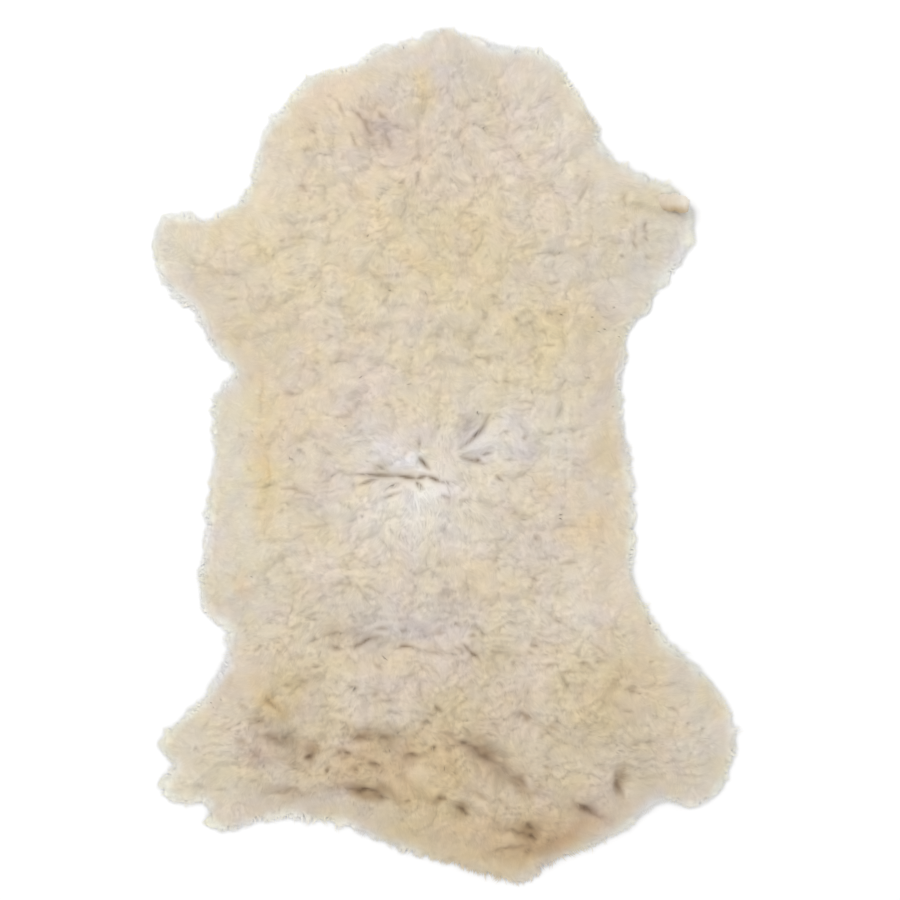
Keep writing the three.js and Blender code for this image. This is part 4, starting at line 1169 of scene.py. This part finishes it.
def curl_mesh(stations=56, turns=48):
    """The roll: a spiral strip of hide carried along the line, smaller and lower at its left end and
    blunt at its right. Its section is a ring of points, out on the outer side and back on the inner.
    Returns points, triangles and each point's share of the way round the spiral and along the line."""
    t = np.linspace(0, 1, stations)
    knots = np.linspace(0, 1, len(CURL_LINE))
    line = np.stack([np.interp(t, knots, CURL_LINE[:, axis]) for axis in range(3)], axis=1)
    for _ in range(6):
        line[1:-1] = (line[:-2] + 2 * line[1:-1] + line[2:]) / 4
    along = np.gradient(line, axis=0)
    along /= np.linalg.norm(along, axis=1, keepdims=True)
    out = np.cross([0, 0, 1.0], along)
    out /= np.linalg.norm(out, axis=1, keepdims=True)
    size = (0.8 + 0.2 * smooth(1.25 * t)) * np.sqrt(np.clip(1 - t**24, 0.5, 1))
    size *= np.sqrt(np.clip(14 * t + 0.15, 0, 1))
    share = np.linspace(0, 1, turns)
    angle = np.radians(CURL_FROM + CURL_SWEEP * share)
    outer = CURL_RADIUS + (CURL_INNER - CURL_RADIUS) * share
    inner = outer - CURL_HIDE * (0.35 + 0.65 * np.sin(np.pi * np.clip(share, 0.03, 0.97)))
    section = np.concatenate([
        np.stack([outer * np.cos(angle), outer * np.sin(angle)], axis=1),
        np.stack([inner * np.cos(angle), inner * np.sin(angle)], axis=1)[::-1],
    ])
    turn = np.concatenate([share, share[::-1]])
    crumple = 1 + 0.08 * np.sin(11 * t[:, None] + 5 * turn) + 0.06 * np.sin(27 * t[:, None] - 9 * turn)
    scale = size[:, None] * crumple
    places = line[:, None] + out[:, None] * (section[:, 0] * scale)[..., None]
    places[..., 2] += section[:, 1] * scale
    # where the roll is low it lies flat on the floor, its last turn on its first, and doesn't go under
    lowest = 0.4 + 2.6 * smooth((share - 0.5) / 0.3)
    places[..., 2] = np.maximum(places[..., 2], np.concatenate([lowest, lowest[::-1] + 1.2]))
    ring = places.shape[1]
    i, k = np.meshgrid(np.arange(stations - 1), np.arange(ring), indexing="ij")
    a, b = i * ring + k, i * ring + (k + 1) % ring
    faces = np.concatenate([np.stack([a, b, a + ring], -1).reshape(-1, 3),
                            np.stack([b, b + ring, a + ring], -1).reshape(-1, 3)])
    # each end is closed by the strip between the outer and the inner side
    m = np.arange(turns - 1)
    cap = np.concatenate([np.stack([m, ring - 1 - m, m + 1], -1),
                          np.stack([m + 1, ring - 1 - m, ring - 2 - m], -1)])
    caps = np.concatenate([cap, cap[:, ::-1] + ring * (stations - 1)])
    return places.reshape(-1, 3), np.concatenate([faces, caps]), np.tile(turn, stations), np.repeat(t, ring)


def curl_material():
    """The same hide, rolled: its colour is the piece's attribute, with painted shade into the roll's hollow,
    times a soft mottle, with a nap."""
    material, nodes, links, shader = node_material("curled_hide")
    mottle = napped(nodes, links, shader, 150, 5, 0.6, 0.0005)
    tone = nodes.new("ShaderNodeVertexColor")
    tone.layer_name = "tone"
    shade = nodes.new("ShaderNodeMapRange")
    shade.inputs["To Min"].default_value, shade.inputs["To Max"].default_value = 0.86, 1.1
    mixed = nodes.new("ShaderNodeMix")
    mixed.data_type, mixed.blend_type = "RGBA", "MULTIPLY"
    mixed.inputs["Factor"].default_value = 1
    links.new(mottle, shade.inputs["Value"])
    links.new(tone.outputs["Color"], mixed.inputs[6])
    links.new(shade.outputs["Result"], mixed.inputs[7])
    links.new(mixed.outputs[2], shader.inputs["Base Color"])
    shader.inputs["Roughness"].default_value = 0.9
    shader.inputs["Sheen Weight"].default_value = 0.3
    return material


curl_points, curl_faces, curl_turn, curl_share = curl_mesh()
curl_corners = curl_points[curl_faces] - curl_points.mean(0)
if (np.cross(curl_corners[:, 0], curl_corners[:, 1]) * curl_corners[:, 2]).sum() < 0:
    curl_faces = curl_faces[:, ::-1]
curled_edge = mesh_piece("curled_edge", curl_points, curl_faces, None, curl_material())
# Round its turn the roll is pale outside and darker, down to ochre-brown, into its hollow: painted shade
curl_turn_shade = linear([(200, 191, 178), (206, 195, 178), (205, 191, 170), (192, 172, 140), (156, 130, 94)])
curl_places = [0.0, 0.3, 0.55, 0.72, 0.9]
curl_colour = np.stack([np.interp(curl_turn, curl_places, curl_turn_shade[:, band]) for band in range(3)], axis=1)
curl_stains_and_shade = [  # tone, how far it covers each point: pinkish at the left end, a brown underside that is painted shade where the roll meets the wool, and paler outside on the right
    ((203, 187, 174), 0.7 * (1 - smooth(curl_share / 0.55))),
    ((180, 154, 112), 0.7 * np.exp(-(((curl_share - 0.66) / 0.2) ** 2) - ((curl_turn - 0.7) / 0.12) ** 2)),
    ((222, 215, 203), 0.8 * smooth((curl_share - 0.5) / 0.4) * (1 - smooth((curl_turn - 0.45) / 0.2))),
]
for tone, cover in curl_stains_and_shade:
    curl_colour += (linear(tone) - curl_colour) * cover[:, None]
colour_points(curled_edge, curl_colour)
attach(curled_edge, "root")

# The floor is a plain pale sheet that runs well out of the picture.
# It isn't part of the sheepskin.

floor_material, _, _, floor_shader = node_material("pale_floor")
floor_shader.inputs["Base Color"].default_value = (0.92, 0.92, 0.92, 1)
floor_shader.inputs["Roughness"].default_value = 0.9
FLOOR_REACH = 4000
floor_points = np.array([(-1, -1, 0), (1, -1, 0), (1, 1, 0), (-1, 1, 0)], float) * FLOOR_REACH
floor_faces = np.array([(0, 1, 2), (0, 2, 3)])
floor_uv = (floor_points[:, :2] / (2 * FLOOR_REACH) + 0.5)[floor_faces]
floor = mesh_piece("floor", floor_points, floor_faces, floor_uv, floor_material)

# The light is soft and even, as in a studio with white walls: a bright surround, and a large lamp
# high over the neck end, a little to the left, that gives the tufts their shape.

world = bpy.data.worlds.new("studio")
bpy.context.scene.world = world
world.use_nodes = True
world.node_tree.nodes["Background"].inputs["Color"].default_value = (1, 1, 1, 1)
world.node_tree.nodes["Background"].inputs["Strength"].default_value = 1.04
lamp_data = bpy.data.lights.new("soft_lamp", "AREA")
lamp_data.shape = "DISK"
lamp_data.size = 1.1
lamp_data.energy = 13
lamp = bpy.data.objects.new("soft_lamp", lamp_data)
lamp.location = (-0.9, 1.3, 1.9)
lamp.rotation_mode = "QUATERNION"
lamp.rotation_quaternion = (-Vector(lamp.location)).to_track_quat("-Z", "Y")
bpy.context.scene.collection.objects.link(lamp)
bpy.context.scene.view_settings.view_transform = "Standard"

# The camera looks straight down with a long lens. The picture's 900 pixels span VIEW_WIDTH.

VIEW_WIDTH = 900 * PIXEL
VIEW_CENTRE = (5 * PIXEL, 3 * PIXEL)
CAMERA_HEIGHT = 3200
camera_data = bpy.data.cameras.new("camera")
camera_data.sensor_width = 36
camera_data.lens = camera_data.sensor_width * CAMERA_HEIGHT / VIEW_WIDTH
camera = bpy.data.objects.new("camera", camera_data)
camera.location = (VIEW_CENTRE[0] * MM, VIEW_CENTRE[1] * MM, (CAMERA_HEIGHT + 20) * MM)
bpy.context.scene.collection.objects.link(camera)
bpy.context.scene.camera = camera
